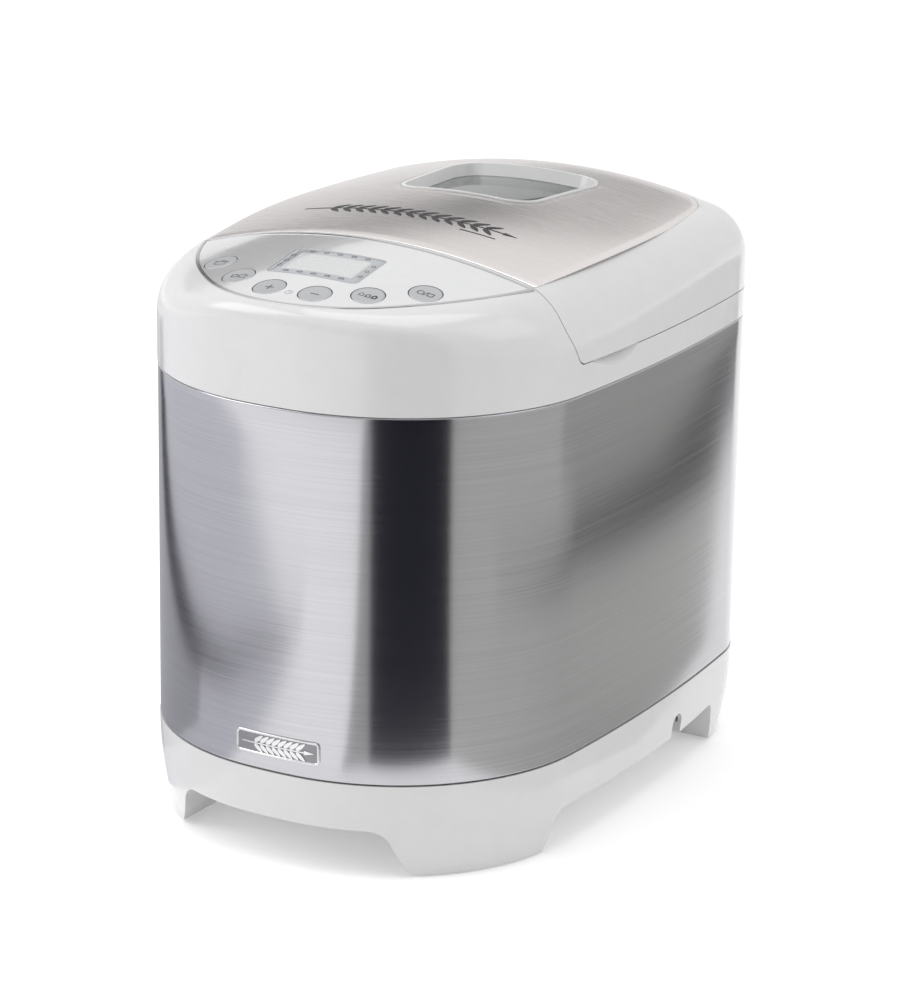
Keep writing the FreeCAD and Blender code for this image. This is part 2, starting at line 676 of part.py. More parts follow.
board_top = 18 - 1.6
switches = []
for name, (x, y) in zip(BUTTONS, BUTTON_PLACES):
    depth = d.button_tall + d.button_travel + 0.7
    centre = on_panel(x, y, 0)
    normal = crown_slope(0, -127)
    floor_point = on_panel(0, -127, board_top)
    drop = (centre - floor_point).dot(normal)
    foot = centre - normal * (drop - 0.02)
    height = drop - depth
    switches.append(Part.makeCylinder(3, height, foot, normal))
    cap = Part.makeCylinder(d.button_r, 2.2, on_panel(x, y, 2), crown_slope(x, y))
    stem = Part.makeCylinder(d.button_r - 5, 3.2, on_panel(x, y, d.button_tall),
                             crown_slope(x, y))
    coded("button_" + name, cap.fuse(stem))
coded("button_switches", Part.makeCompound(switches))

# ---------------------------------------------------------------- lid


def inlay_wire(inset):
    """The steel inlay: straight front, gently bowed sides and rear, rounded rear corners."""
    half, rear, corner = d.inlay_half - inset, d.inlay_rear - inset, d.inlay_corner - inset
    front = d.inlay_front + inset
    side_r, rear_r = d.inlay_side_arc - inset, d.inlay_rear_arc - inset
    side_c = Vector(half - side_r, d.inlay_mid, 0)
    rear_c = Vector(0, rear - rear_r, 0)
    corner_c = circle_meet(rear_c, rear_r - corner, side_c, side_r - corner, 1)

    def reach(centre, radius, through):
        return centre + (through - centre).normalize() * radius

    low = Vector(side_c.x + math.sqrt(side_r ** 2 - (front - side_c.y) ** 2), front, 0)
    turn = reach(side_c, side_r, corner_c)
    end = reach(rear_c, rear_r, corner_c)
    side_mid = reach(side_c, side_r, (low + turn) * 0.5)
    corner_mid = reach(corner_c, corner, (turn + end) * 0.5)
    rear_mid = Vector(0, rear, 0)

    def other(point):
        return Vector(-point.x, point.y, 0)

    return Part.Wire([Part.LineSegment(other(low), low).toShape(),
                      Part.Arc(low, side_mid, turn).toShape(),
                      Part.Arc(turn, corner_mid, end).toShape(),
                      Part.Arc(end, rear_mid, other(end)).toShape(),
                      Part.Arc(other(end), other(corner_mid), other(turn)).toShape(),
                      Part.Arc(other(turn), other(side_mid), other(low)).toShape()])


def window_wire(inset):
    """The lid window: wider at the rear, all corners rounded."""
    half, corner = d.window_half - inset, d.window_corner - inset
    front, rear = d.window_front + inset, d.window_rear - inset
    return Part.Wire(rounded_edges(
        [Vector(-half + d.window_taper, front, 0), Vector(half - d.window_taper, front, 0),
         Vector(half, rear, 0), Vector(-half, rear, 0)], [corner] * 4))


def lid_shell():
    shell = OUTER.common(lid_region(0))
    shell = shell.cut(INNER.common(lid_region(0, d.wall)))
    shell = shell.cut(hinge_rod(d.hinge_clear_r, -d.boss_out - 0.6, d.boss_out + 0.6))
    barrel = hinge_rod(d.barrel_r, -d.barrel_half, d.barrel_half)
    web_wire = rounded_wire(d.barrel_half, d.hinge_y - 8.5, d.hinge_y, 1)
    web = prism(web_wire, d.hinge_z, SKY).common(OUTER)
    shell = shell.fuse([barrel, web])
    recess = prism(inlay_wire(-0.15), d.lid_low, SKY).common(crown_layer(5, -d.inlay_thick - 0.05))
    opening = prism(window_wire(-0.1), d.lid_low + 8, SKY)
    bore = hinge_rod(d.pin_r + 0.05, -d.barrel_half - 5, d.barrel_half + 5)
    return shell.cut([recess, opening, bore]).removeSplitter()


coded("lid_shell", lid_shell())
coded("lid_inlay", prism(inlay_wire(0), d.lid_low, SKY).cut(
    prism(window_wire(-0.2), d.lid_low - 1, SKY)).common(crown_layer(0, -d.inlay_thick)))


def window_funnel():
    """The sloping inner wall of the window's rim, narrowing downwards."""
    high, low = d.crown_high + 4, d.crown_high - 14
    wires = []
    for level, inset in ((high, 0.2), (low, d.rim_width + 1.5)):
        wire = window_wire(inset)
        wire.translate(Vector(0, 0, level))
        wires.append(wire)
    return Part.makeLoft(wires, True, True)


rim = prism(window_wire(0), d.lid_low, SKY).common(crown_layer(d.rim_proud, -10.5))
rebate = prism(window_wire(d.rim_width - 2.2), d.lid_low, SKY).common(
    crown_layer(-d.glass_deep, -14))
coded("window_rim", rim.cut([window_funnel(), rebate]))
coded("window_glass", prism(window_wire(d.rim_width - 2.1), d.lid_low, SKY).common(
    crown_layer(-d.glass_deep - 0.05, -d.glass_deep - 0.05 - d.glass_thick)))

frame_level = d.liner_low + 1.2
frame_plan = prism(outline_wire(d.wall + 0.4), frame_level, frame_level + 2.2)
frame_plan = frame_plan.common(prism(rounded_wire(d.half_width, -67.5, d.hinge_y - 15.5, 4),
                                     frame_level, frame_level + 2.2))
coded("lid_frame", frame_plan.cut(prism(rounded_wire(d.dome_x + 1, d.dome_front - 1,
                                                     d.dome_rear + 1, d.dome_corner + 1),
                                        frame_level - 1, frame_level + 4)))

liner = body("lid_liner")
liner_mid = "(liner_front + liner_rear) / 2"
dome_mid = "(dome_front + dome_rear) / 2"
liner_flange = sketch(liner, "liner_flange", "liner_low")
rounded_rectangle(liner_flange, "liner_x", "(liner_rear - liner_front) / 2", "liner_corner",
                  liner_mid)
feature(liner, "Pad", liner_flange, "sheet_steel")
dome = sketch(liner, "liner_dome", "liner_low")
rounded_rectangle(dome, "dome_x", "(dome_rear - dome_front) / 2", "dome_corner", dome_mid)
feature(liner, "Pad", dome, "dome_high - liner_low")
hollow = sketch(liner, "liner_hollow", "dome_high - sheet_steel")
rounded_rectangle(hollow, "dome_x - sheet_steel", "(dome_rear - dome_front) / 2 - sheet_steel",
                  "dome_corner - sheet_steel", dome_mid)
feature(liner, "Pocket", hollow, "4 * dome_high", Reversed=False)
sight = sketch(liner, "liner_sight", "dome_high")
rounded_rectangle(sight, "window_half - 5", "36", "14", "(window_front + window_rear) / 2")
feature(liner, "Pocket", sight, "5")

inner_pane = body("inner_glass")
pane = sketch(inner_pane, "inner_pane", "dome_high + 0.05")
rounded_rectangle(pane, "window_half + 1", "42", "16", "(window_front + window_rear) / 2")
feature(inner_pane, "Pad", pane, "glass_thick")

seal = body("lid_seal")
seal_mid = "pan_y"
seal_out = sketch(seal, "seal_outside", "lid_low")
rounded_rectangle(seal_out, "deck_x + 6", "deck_half_y + 6", "chamber_corner + 4", seal_mid)
feature(seal, "Pad", seal_out, "liner_low - lid_low - 0.02")
seal_in = sketch(seal, "seal_inside", "liner_low - 0.02")
rounded_rectangle(seal_in, "deck_x + 2", "deck_half_y + 2", "chamber_corner", seal_mid)
feature(seal, "Pocket", seal_in, "5")
piece(group("hinge_pins", [cylinder("hinge_pin_%d" % n, "pin_r", "pin_half", x, "hinge_y",
                                    "hinge_z", ALONG_X)
                           for n, x in enumerate(("20.5", "-20.5 - pin_half"))]), "hinge_pins")

# ---------------------------------------------------------------- baking chamber and heater

chamber = body("baking_chamber")
chamber_out = sketch(chamber, "chamber_outside", "chamber_low")
rounded_rectangle(chamber_out, "chamber_x", "chamber_half_y", "chamber_corner", "pan_y")
feature(chamber, "Pad", chamber_out, "chamber_high - chamber_low")
chamber_lip = sketch(chamber, "chamber_lip", "chamber_high - sheet_steel")
rounded_rectangle(chamber_lip, "chamber_x + flange_width", "chamber_half_y + flange_width",
                  "chamber_corner + flange_width", "pan_y")
feature(chamber, "Pad", chamber_lip, "sheet_steel")
chamber_in = sketch(chamber, "chamber_inside", "chamber_high")
rounded_rectangle(chamber_in, "chamber_x - sheet_steel", "chamber_half_y - sheet_steel",
                  "chamber_corner - sheet_steel", "pan_y")
feature(chamber, "Pocket", chamber_in, "chamber_high - chamber_low - sheet_steel")
shaft_hole = sketch(chamber, "chamber_shaft_hole", "chamber_high")
circle(shaft_hole, "shaft_r + 3.02", "0", "pan_y")
feature(chamber, "Pocket", shaft_hole, "chamber_high")
front_holes = sketch(chamber, "chamber_front_holes", "60", "XZ_Plane")
for x, z, radius in (("12", "heater_z", "heater_r + 0.3"), ("-12", "heater_z", "heater_r + 0.3"),
                     ("45", "160", "3.05")):
    circle(front_holes, radius, x, z)
feature(chamber, "Pocket", front_holes, "30", both=True)

gasket = body("chamber_gasket")
gasket_out = sketch(gasket, "gasket_outside", "chamber_high + 0.02")
rounded_rectangle(gasket_out, "deck_x + 7", "deck_half_y + 7", "chamber_corner + 5", "pan_y")
feature(gasket, "Pad", gasket_out, "lid_low - seam_gap - wall - chamber_high - 0.04")
gasket_in = sketch(gasket, "gasket_inside", "lid_low")
rounded_rectangle(gasket_in, "chamber_x - 0.4", "chamber_half_y - 0.4", "chamber_corner", "pan_y")
feature(gasket, "Pocket", gasket_in, "20")


def heater_path(level):
    """One turn round the pan whose two ends leave through the front wall."""
    x, corner = d.heater_x, d.heater_corner
    near, far = d.pan_y - d.heater_half_y, d.pan_y + d.heater_half_y
    end, leg = near - 24, 12
    points = [Vector(a, b, level) for a, b in (
        (leg, end), (leg, near), (x, near), (x, far), (-x, far), (-x, near), (-leg, near),
        (-leg, end))]
    return Part.Wire(rounded_edges(points, (0, 9, corner, corner, corner, corner, 9, 0), False))


def swept(wire, radius):
    """A round rod along a wire of lines and tangent arcs."""
    first = wire.Edges[0]
    start = first.valueAt(first.FirstParameter)
    ring = Part.Wire(Part.makeCircle(radius, start, first.tangentAt(first.FirstParameter)))
    return wire.makePipeShell([ring], True, False)


coded("heating_element", swept(heater_path(d.heater_z), d.heater_r))

clips = []
for side in (1, -1):
    for y in (0, 84):
        inner, outer = d.heater_x - d.heater_r - 1, d.chamber_x - d.sheet_steel
        block = Part.makeBox(outer - inner, 8, 10, Vector(inner if side > 0 else -outer, y,
                                                           d.heater_z - 5))
        clips.append(block.cut(Part.makeCylinder(d.heater_r + 0.02, 12,
                                                 Vector(side * d.heater_x, y - 2, d.heater_z),
                                                 Vector(0, 1, 0))))
coded("heater_clips", Part.makeCompound(clips))

piece(cut("pan_seat", fuse("seat_body", cylinder("seat_flange", "38", "1.6", "0", "pan_y",
                                                 "chamber_low + sheet_steel"),
                           cylinder("seat_wall", "34.5", "7.5", "0", "pan_y",
                                    "chamber_low + sheet_steel")),
          cylinder("seat_bore", "31.6", "12", "0", "pan_y", "chamber_low - 1")), "pan_seat")

piece(group("thermal_sensors", [
    cylinder("sensor_rod", "3", "34", "45", "pan_y - chamber_half_y - 20", "160", ALONG_Y),
    box("fuse_block", "26", "9", "12", "-58", "pan_y - chamber_half_y - 9.05", "150")]),
      "thermal_sensors")

# ---------------------------------------------------------------- bread pan, handle and paddle

pan = body("bread_pan")
pan_out = sketch(pan, "pan_outside", "pan_low")
rounded_rectangle(pan_out, "pan_x", "pan_half_y", "pan_corner", "pan_y")
feature(pan, "Pad", pan_out, "pan_high - pan_low")
pan_rim = sketch(pan, "pan_rim", "pan_high - 3")
rounded_rectangle(pan_rim, "pan_x + 3", "pan_half_y + 3", "pan_corner + 3", "pan_y")
feature(pan, "Pad", pan_rim, "3")
pan_in = sketch(pan, "pan_inside", "pan_high")
rounded_rectangle(pan_in, "pan_x - pan_wall", "pan_half_y - pan_wall", "pan_corner - pan_wall",
                  "pan_y")
feature(pan, "Pocket", pan_in, "pan_high - pan_low - pan_wall")
pan_hole = sketch(pan, "pan_hole", "pan_high")
circle(pan_hole, "shaft_r + 3.02", "0", "pan_y")
feature(pan, "Pocket", pan_hole, "pan_high")

piece(tube("pan_base_ring", "30.5", "27", "pan_low - chamber_low - sheet_steel - 2", "0", "pan_y",
           "chamber_low + sheet_steel + 2"), "pan_base_ring")
piece(tube("pan_bush", "shaft_r + 3", "shaft_r + running", "pan_wall + 5", "0", "pan_y",
           "pan_low - 1"), "pan_shaft_bush")
lugs = []
for side in (1, -1):
    wall_y = d.pan_y + side * (d.pan_half_y + 0.01)
    toward = Vector(0, side, 0)
    lug = Part.makeCylinder(6, 1.6, Vector(0, wall_y, d.pan_high - 10), toward)
    pin = Part.makeCylinder(1.6, 4.2, Vector(0, wall_y, d.pan_high - 10), toward)
    lugs.append(lug.fuse(pin))
coded("handle_pivots", Part.makeCompound(lugs))


def pan_handle():
    """A bail of round wire, folded down over one long side of the pan."""
    wire_r, reach = 1.6, 58
    pivot = Vector(0, d.pan_y + d.pan_half_y + 5.9, d.pan_high - 10)
    rise = Vector(-9, pivot.y, d.pan_high + 4)
    away = Vector(-reach, pivot.y, d.pan_high + 4)
    across = Vector(-reach, 2 * d.pan_y - pivot.y, d.pan_high + 4)
    back = Vector(-9, across.y, rise.z)
    end = Vector(0, across.y, pivot.z)
    lead = (rise - pivot).normalize() * 2.4
    path = Part.Wire(rounded_edges([pivot + lead, rise, away, across, back, end + lead],
                                   (0, 5, 12, 12, 5, 0), False))
    handle = swept(path, wire_r)
    eyes = []
    for point, side in ((pivot, 1), (end, -1)):
        low = point.y - 1.5
        eye = Part.makeCylinder(3.6, 3, Vector(0, low, point.z), Vector(0, 1, 0))
        eyes.append(eye)
    handle = handle.fuse(eyes)
    bore = Part.makeCylinder(1.6 + 0.1, 400, Vector(0, -100, d.pan_high - 10), Vector(0, 1, 0))
    return handle.cut(bore)


coded("pan_handle", pan_handle())

piece(cylinder("pan_rod", "shaft_r", "30", "0", "pan_y", "pan_low - 8.5"), "pan_shaft")


def kneading_paddle():
    """A hub on the shaft and a fin that sweeps round on one side."""
    low = d.pan_low + d.pan_wall + 4.3
    hub = Part.makeCylinder(8, 15, Vector(0, d.pan_y, low))
    cap = Part.makeCone(8, 5, 5, Vector(0, d.pan_y, low + 15))
    corners = [Vector(0, 0, low), Vector(40, 0, low), Vector(44, 0, low + 10),
               Vector(32, 0, low + 34), Vector(14, 0, low + 40), Vector(0, 0, low + 20)]
    fin = Part.Face(Part.Wire(rounded_edges(corners, (0, 3, 14, 12, 8, 0)))).extrude(
        Vector(0, 5, 0))
    fin.translate(Vector(0, d.pan_y - 2.5, 0))
    bore = Part.makeCylinder(d.shaft_r + 0.02, 17.4, Vector(0, d.pan_y, low - 1))
    return hub.fuse([cap, fin]).cut(bore).removeSplitter()


coded("kneading_paddle", kneading_paddle())
piece(cut("pan_coupler", fuse("coupler_wings", box("coupler_bar", "5", "24", "4.5", "-2.5",
                                                   "pan_y - 12", "pan_low - 7.5"),
                              cylinder("coupler_hub", "7", "4.5", "0", "pan_y", "pan_low - 7.5")),
          cylinder("coupler_bore", "shaft_r + 0.01", "8", "0", "pan_y", "pan_low - 9")),
      "pan_coupler")

# ---------------------------------------------------------------- drive

piece(cylinder("drive_rod", "shaft_r", "pan_low - 9 - 61.5", "0", "pan_y", "61.5"), "drive_shaft")
piece(tube("bearing", "shaft_r + 3", "shaft_r + running", "chamber_low + 1.4 - 75.5", "0",
           "pan_y", "75.5"), "drive_bearing")
piece(cut("bearing_bridge", box("bridge_plate", "60", "44", "2.4", "-30", "pan_y - 22", "78"),
          cylinder("bridge_hole", "shaft_r + 3.02", "8", "0", "pan_y", "76")), "bearing_bridge")
dogs = [box("drive_dog_%d" % n, "4", "7", "7.4", x, "pan_y - 3.5", "chamber_low + 1.6")
        for n, x in enumerate(("9", "-13"))]
piece(cut("drive_coupler", fuse("dog_plate", cylinder("dog_disc", "14", "1.9", "0", "pan_y",
                                                      "chamber_low + 1.6"), *dogs),
          cylinder("dog_bore", "shaft_r + 0.01", "9", "0", "pan_y", "chamber_low")),
      "drive_coupler")


def pulley(label, radius, bore, y, hub):
    """A grooved flat-belt pulley with two flanges, turned about its own axis."""
    item = body(label)
    drawing = sketch(item, label + "_section", "0", "XZ_Plane")
    outer, inner = value_of(radius), value_of(bore)
    low, high = d.belt_low - 1.2, d.belt_high + 1.2
    lip, neck = outer + 2.2, value_of(hub)
    corners = [(inner, low), (lip, low), (lip, low + 0.9), (outer, low + 1.2)]
    grooves = 4
    pitch = (d.belt_high - d.belt_low) / grooves
    for n in range(grooves):
        base_z = d.belt_low + n * pitch
        corners += [(outer - 0.8, base_z + pitch / 2), (outer, base_z + pitch)]
    corners += [(lip, high - 0.9), (lip, high)]
    if outer > 3 * neck:
        corners += [(outer - 5, high), (outer - 5, low + 2.5), (neck, low + 2.5), (neck, high)]
    corners += [(inner, high)]
    points = [Vector(a, b, 0) for a, b in corners]
    for n, point in enumerate(points):
        drawing.addGeometry(Part.LineSegment(point, points[(n + 1) % len(points)]))
    turned = item.newObject("PartDesign::Revolution", label + "_turned")
    turned.Profile = drawing
    turned.ReferenceAxis = (drawing, ["V_Axis"])
    turned.Angle = 360
    return bind(item, Placement__Base__y=y)


pulley("drive_pulley", "drive_pulley_r", "shaft_r + 0.01", "pan_y", "9")
pulley("motor_pulley", "motor_pulley_r", "motor_shaft_r + 0.01", "motor_y", "5")


def belt_loop(grow):
    """The belt's loop at its middle line: two tangents and an arc round each pulley."""
    big, small = d.drive_pulley_r + grow, d.motor_pulley_r + grow
    far, near = Vector(0, d.pan_y, d.belt_low), Vector(0, d.motor_y, d.belt_low)
    lean = math.asin((big - small) / (far - near).Length)
    out = Vector(math.cos(lean), -math.sin(lean), 0)

    def other(point):
        return Vector(-point.x, point.y, point.z)

    high, low = far + out * big, near + out * small
    return Part.Wire([Part.LineSegment(low, high).toShape(),
                      Part.Arc(high, far + Vector(0, big, 0), other(high)).toShape(),
                      Part.LineSegment(other(high), other(low)).toShape(),
                      Part.Arc(other(low), near - Vector(0, small, 0), low).toShape()])


belt = prism(belt_loop(d.belt_gap + d.belt_thick), d.belt_low + 0.3, d.belt_high - 0.3)
coded("drive_belt", belt.cut(prism(belt_loop(d.belt_gap), d.belt_low, d.belt_high)))

# ---------------------------------------------------------------- motor

motor_can = fuse("motor_can", cylinder("motor_stack", "motor_r", "motor_high - motor_low",
                                       "0", "motor_y", "motor_low"),
                 box("motor_core", "2 * motor_r + 10", "40", "30", "-motor_r - 5",
                     "motor_y - 20", "motor_low + 14"))
piece(cut("motor_body", motor_can, cylinder("motor_bore", "motor_shaft_r + running", "90", "0",
                                            "motor_y", "motor_low - 10")), "motor_body")
piece(cut("motor_bracket", fuse("bracket_plate", box("bracket_top", "100", "70", "2", "-50",
                                                     "motor_y - 35", "motor_low - 2.02"),
                                *[box("bracket_leg_%d" % n, "2", "20",
                                      "motor_low - 2 - chassis_low - chassis_thick", x,
                                      "motor_y - 10", "chassis_low + chassis_thick")
                                  for n, x in enumerate(("-50", "48"))]),
          cylinder("bracket_hole", "8", "10", "0", "motor_y", "motor_low - 6")), "motor_bracket")
piece(cylinder("motor_rod", "motor_shaft_r", "99", "0", "motor_y", "62"), "motor_shaft")


def motor_fan():
    low = d.motor_high + 3
    hub = Part.makeCylinder(8, 9, Vector(0, d.motor_y, low))
    disc = Part.makeCylinder(29, 1.4, Vector(0, d.motor_y, low))
    blades = []
    for n in range(9):
        blade = Part.makeBox(20, 1.2, 7.6, Vector(7.5, d.motor_y - 0.6, low + 1.2))
        blade.rotate(Vector(0, d.motor_y, 0), Vector(0, 0, 1), 40 * n)
        blades.append(blade)
    bore = Part.makeCylinder(d.motor_shaft_r + 0.01, 12, Vector(0, d.motor_y, low - 1))
    return hub.fuse([disc] + blades).cut(bore)


coded("motor_fan", motor_fan())
piece(cylinder("capacitor_can", "12.5", "48", "84", "-96", "chassis_low + chassis_thick"),
      "run_capacitor")

# ---------------------------------------------------------------- electronics and shields

shield = body("heat_shield")
shield_plan = sketch(shield, "shield_plan", "62")
rounded_rectangle(shield_plan, "92", "0.4", "0.3", "pan_y - chamber_half_y - 12")
feature(shield, "Pad", shield_plan, "170")
shield_holes = sketch(shield, "shield_holes", "100", "XZ_Plane")
for x, z, radius in (("0", "heater_z", "18"), ("45", "160", "4.5"), ("-45", "156", "22")):
    circle(shield_holes, radius, x, z)
feature(shield, "Pocket", shield_holes, "200", both=True)
shield_gap = sketch(shield, "shield_belt_gap", "63", "XY_Plane")
rounded_rectangle(shield_gap, "52", "6", "2", "pan_y - chamber_half_y - 12")
feature(shield, "Pocket", shield_gap, "14", Reversed=True)

piece(box("power_board_sheet", "150", "66", "1.6", "-75", "-146", "196"), "power_board")
piece(box("transformer_block", "34", "30", "26", "-66", "-128", "197.62"), "transformer")


def posts(name, radius, low, high, places):
    """Upright spacers of one length."""
    return [cylinder("%s_%d" % (name, n), radius, "%s - (%s)" % (high, low), x, y, low)
            for n, (x, y) in enumerate(places)]


chassis_top = "chassis_low + chassis_thick"
piece(group("support_posts",
            posts("chassis_post", "5", "tray_high", "chassis_low",
                  [(sx + "84", y) for sx in ("", "-") for y in ("-70", "0", "84")])
            + posts("chamber_post", "5", chassis_top, "chamber_low",
                    [(sx + "66", y) for sx in ("", "-") for y in ("-32", "116")])
            + posts("board_post", "3", chassis_top, "196",
                    [("70", "-88"), ("-70", "-88"), ("62", "-136"), ("-62", "-136")])),
      "support_posts")

# ---------------------------------------------------------------- badge and fasteners

badge_corners = [Vector(x, -d.half_depth - 10, z) for x, z in (
    (d.badge_left, d.badge_low), (d.badge_right, d.badge_low),
    (d.badge_right, d.badge_high), (d.badge_left, d.badge_high))]
badge_zone = Part.Face(Part.Wire(rounded_edges(badge_corners, [d.badge_corner] * 4)))
badge = prism(outline_wire(-d.badge_proud), d.wrap_low, d.wrap_high)
badge = badge.cut(prism(outline_wire(0.28), d.skirt_top, d.upper_low))
coded("front_badge", badge.common(badge_zone.extrude(Vector(0, 40, 0))))

piece(group("base_screws", [cylinder("base_screw_%d" % n, "2.6", "1.6", x, y,
                                     "tray_low - 0.1 - cover_thick - 1.62")
                            for n, (x, y) in enumerate([(sx + "40", sy + "102") for sx in ("", "-")
                                                        for sy in ("", "-")])]), "base_screws")

# ---------------------------------------------------------------- check and write

doc.recompute()
for item in doc.Objects:
    if "Invalid" in item.State or "Error" in item.State:
        raise RuntimeError("%s did not build: %s" % (item.Name, item.State))
os.makedirs("parts", exist_ok=True)
for item in PIECES:
    if item.Shape.isNull() or not item.Shape.isValid():
        raise RuntimeError("%s has no sound shape" % item.Label)
    item.Shape.exportStep("parts/%s.step" % item.Label)
print(len(PIECES), "sub-parts")
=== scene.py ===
import json
import math

import bmesh
import bpy
from mathutils import Matrix, Vector


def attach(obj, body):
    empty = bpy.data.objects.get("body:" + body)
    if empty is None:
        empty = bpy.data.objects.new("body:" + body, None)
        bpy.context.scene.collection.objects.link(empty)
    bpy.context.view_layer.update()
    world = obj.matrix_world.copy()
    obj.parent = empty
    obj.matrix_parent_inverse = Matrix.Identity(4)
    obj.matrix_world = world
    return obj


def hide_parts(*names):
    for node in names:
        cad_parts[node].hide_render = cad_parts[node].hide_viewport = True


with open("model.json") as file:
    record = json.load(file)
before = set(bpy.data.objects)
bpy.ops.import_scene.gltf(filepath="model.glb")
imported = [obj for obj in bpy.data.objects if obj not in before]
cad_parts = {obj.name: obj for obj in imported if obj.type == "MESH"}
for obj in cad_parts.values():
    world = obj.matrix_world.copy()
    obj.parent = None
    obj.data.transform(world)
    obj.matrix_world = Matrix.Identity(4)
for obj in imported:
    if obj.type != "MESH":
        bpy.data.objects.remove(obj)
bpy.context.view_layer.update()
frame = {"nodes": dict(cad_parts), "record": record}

# Sizes and places below are in millimetres, in the frame's own axes, and MM makes them metres.
MM = 0.001
NODES = frame["nodes"]


# ---------------------------------------------------------------- materials

def material(name, metal=0.0, **sockets):
    """A new Principled material with these values on its shader's own sockets."""
    made = bpy.data.materials.new(name)
    made.use_nodes = True
    nodes, links = made.node_tree.nodes, made.node_tree.links
    shader = nodes["Principled BSDF"]
    shader.inputs["Metallic"].default_value = metal
    for key, value in sockets.items():
        shader.inputs[key.replace("_", " ")].default_value = value
    return made, nodes, links, shader


def coords(nodes, links, scale):
    """Object coordinates stretched by scale, so that a pattern keeps its real size."""
    where = nodes.new("ShaderNodeTexCoord")
    stretch = nodes.new("ShaderNodeMapping")
    stretch.inputs["Scale"].default_value = scale
    links.new(where.outputs["Object"], stretch.inputs["Vector"])
    return stretch.outputs["Vector"]


def noise(nodes, links, vector, detail=3.0):
    """A pattern from 0 to 1 with features as large as the coordinates' unit."""
    made = nodes.new("ShaderNodeTexNoise")
    made.inputs["Scale"].default_value = 1.0
    made.inputs["Detail"].default_value = detail
    links.new(vector, made.inputs["Vector"])
    return made.outputs["Fac"]


def spread(nodes, links, source, low, high, lowest=0.3, highest=0.7):
    """A number from low to high as the pattern goes from its usual least to its usual most."""
    made = nodes.new("ShaderNodeMapRange")
    made.inputs["From Min"].default_value = lowest
    made.inputs["From Max"].default_value = highest
    made.inputs["To Min"].default_value = low
    made.inputs["To Max"].default_value = high
    links.new(source, made.inputs["Value"])
    return made.outputs["Result"]


def tones(nodes, links, source, dark, light, lowest=0.3, highest=0.7):
    """A colour between two tones of the same finish."""
    made = nodes.new("ShaderNodeValToRGB")
    made.color_ramp.elements[0].position = lowest
    made.color_ramp.elements[1].position = highest
    made.color_ramp.elements[0].color = (*dark, 1)
    made.color_ramp.elements[1].color = (*light, 1)
    links.new(source, made.inputs["Fac"])
    return made.outputs["Color"]


def relief(nodes, links, shader, source, height):
    """Very shallow relief, height in metres."""
    made = nodes.new("ShaderNodeBump")
    made.inputs["Strength"].default_value = 1.0
    made.inputs["Distance"].default_value = height
    links.new(source, made.inputs["Height"])
    links.new(made.outputs["Normal"], shader.inputs["Normal"])


def around_colour(colour, vary):
    """A slightly darker and a slightly lighter tone of a colour."""
    dark = [c * (1 - vary) for c in colour]
    light = [min(1.0, c * (1 + vary)) for c in colour]
    return dark, light


def finish(name, colour, rough, metal=0.0, grain=(160, 160, 160), vary=0.04, rough_vary=0.15,
           height=0.0, **sockets):
    """A finish with one pattern in its colour, roughness and relief; grain is per metre."""
    made, nodes, links, shader = material(name, metal, **sockets)
    pattern = noise(nodes, links, coords(nodes, links, grain))
    links.new(tones(nodes, links, pattern, *around_colour(colour, vary)),
              shader.inputs["Base Color"])
    links.new(spread(nodes, links, pattern, rough * (1 - rough_vary), rough * (1 + rough_vary)),
              shader.inputs["Roughness"])
    if height:
        relief(nodes, links, shader, pattern, height)
    return made


def brushed(name, colour, rough, grain, anisotropy, vary, turn, height):
    """Brushed sheet: long fine lines in tone, roughness and relief, and a stretched gloss."""
    made, nodes, links, shader = material(name, 1.0, Anisotropic=anisotropy,
                                          Anisotropic_Rotation=turn)
    lines = noise(nodes, links, coords(nodes, links, grain), 4.0)
    links.new(tones(nodes, links, lines, *around_colour(colour, vary)),
              shader.inputs["Base Color"])
    links.new(spread(nodes, links, lines, rough * 0.92, rough * 1.08), shader.inputs["Roughness"])
    relief(nodes, links, shader, lines, height)
    along = nodes.new("ShaderNodeTangent")
    along.direction_type = "RADIAL"
    along.axis = "Z"
    links.new(along.outputs["Tangent"], shader.inputs["Tangent"])
    return made


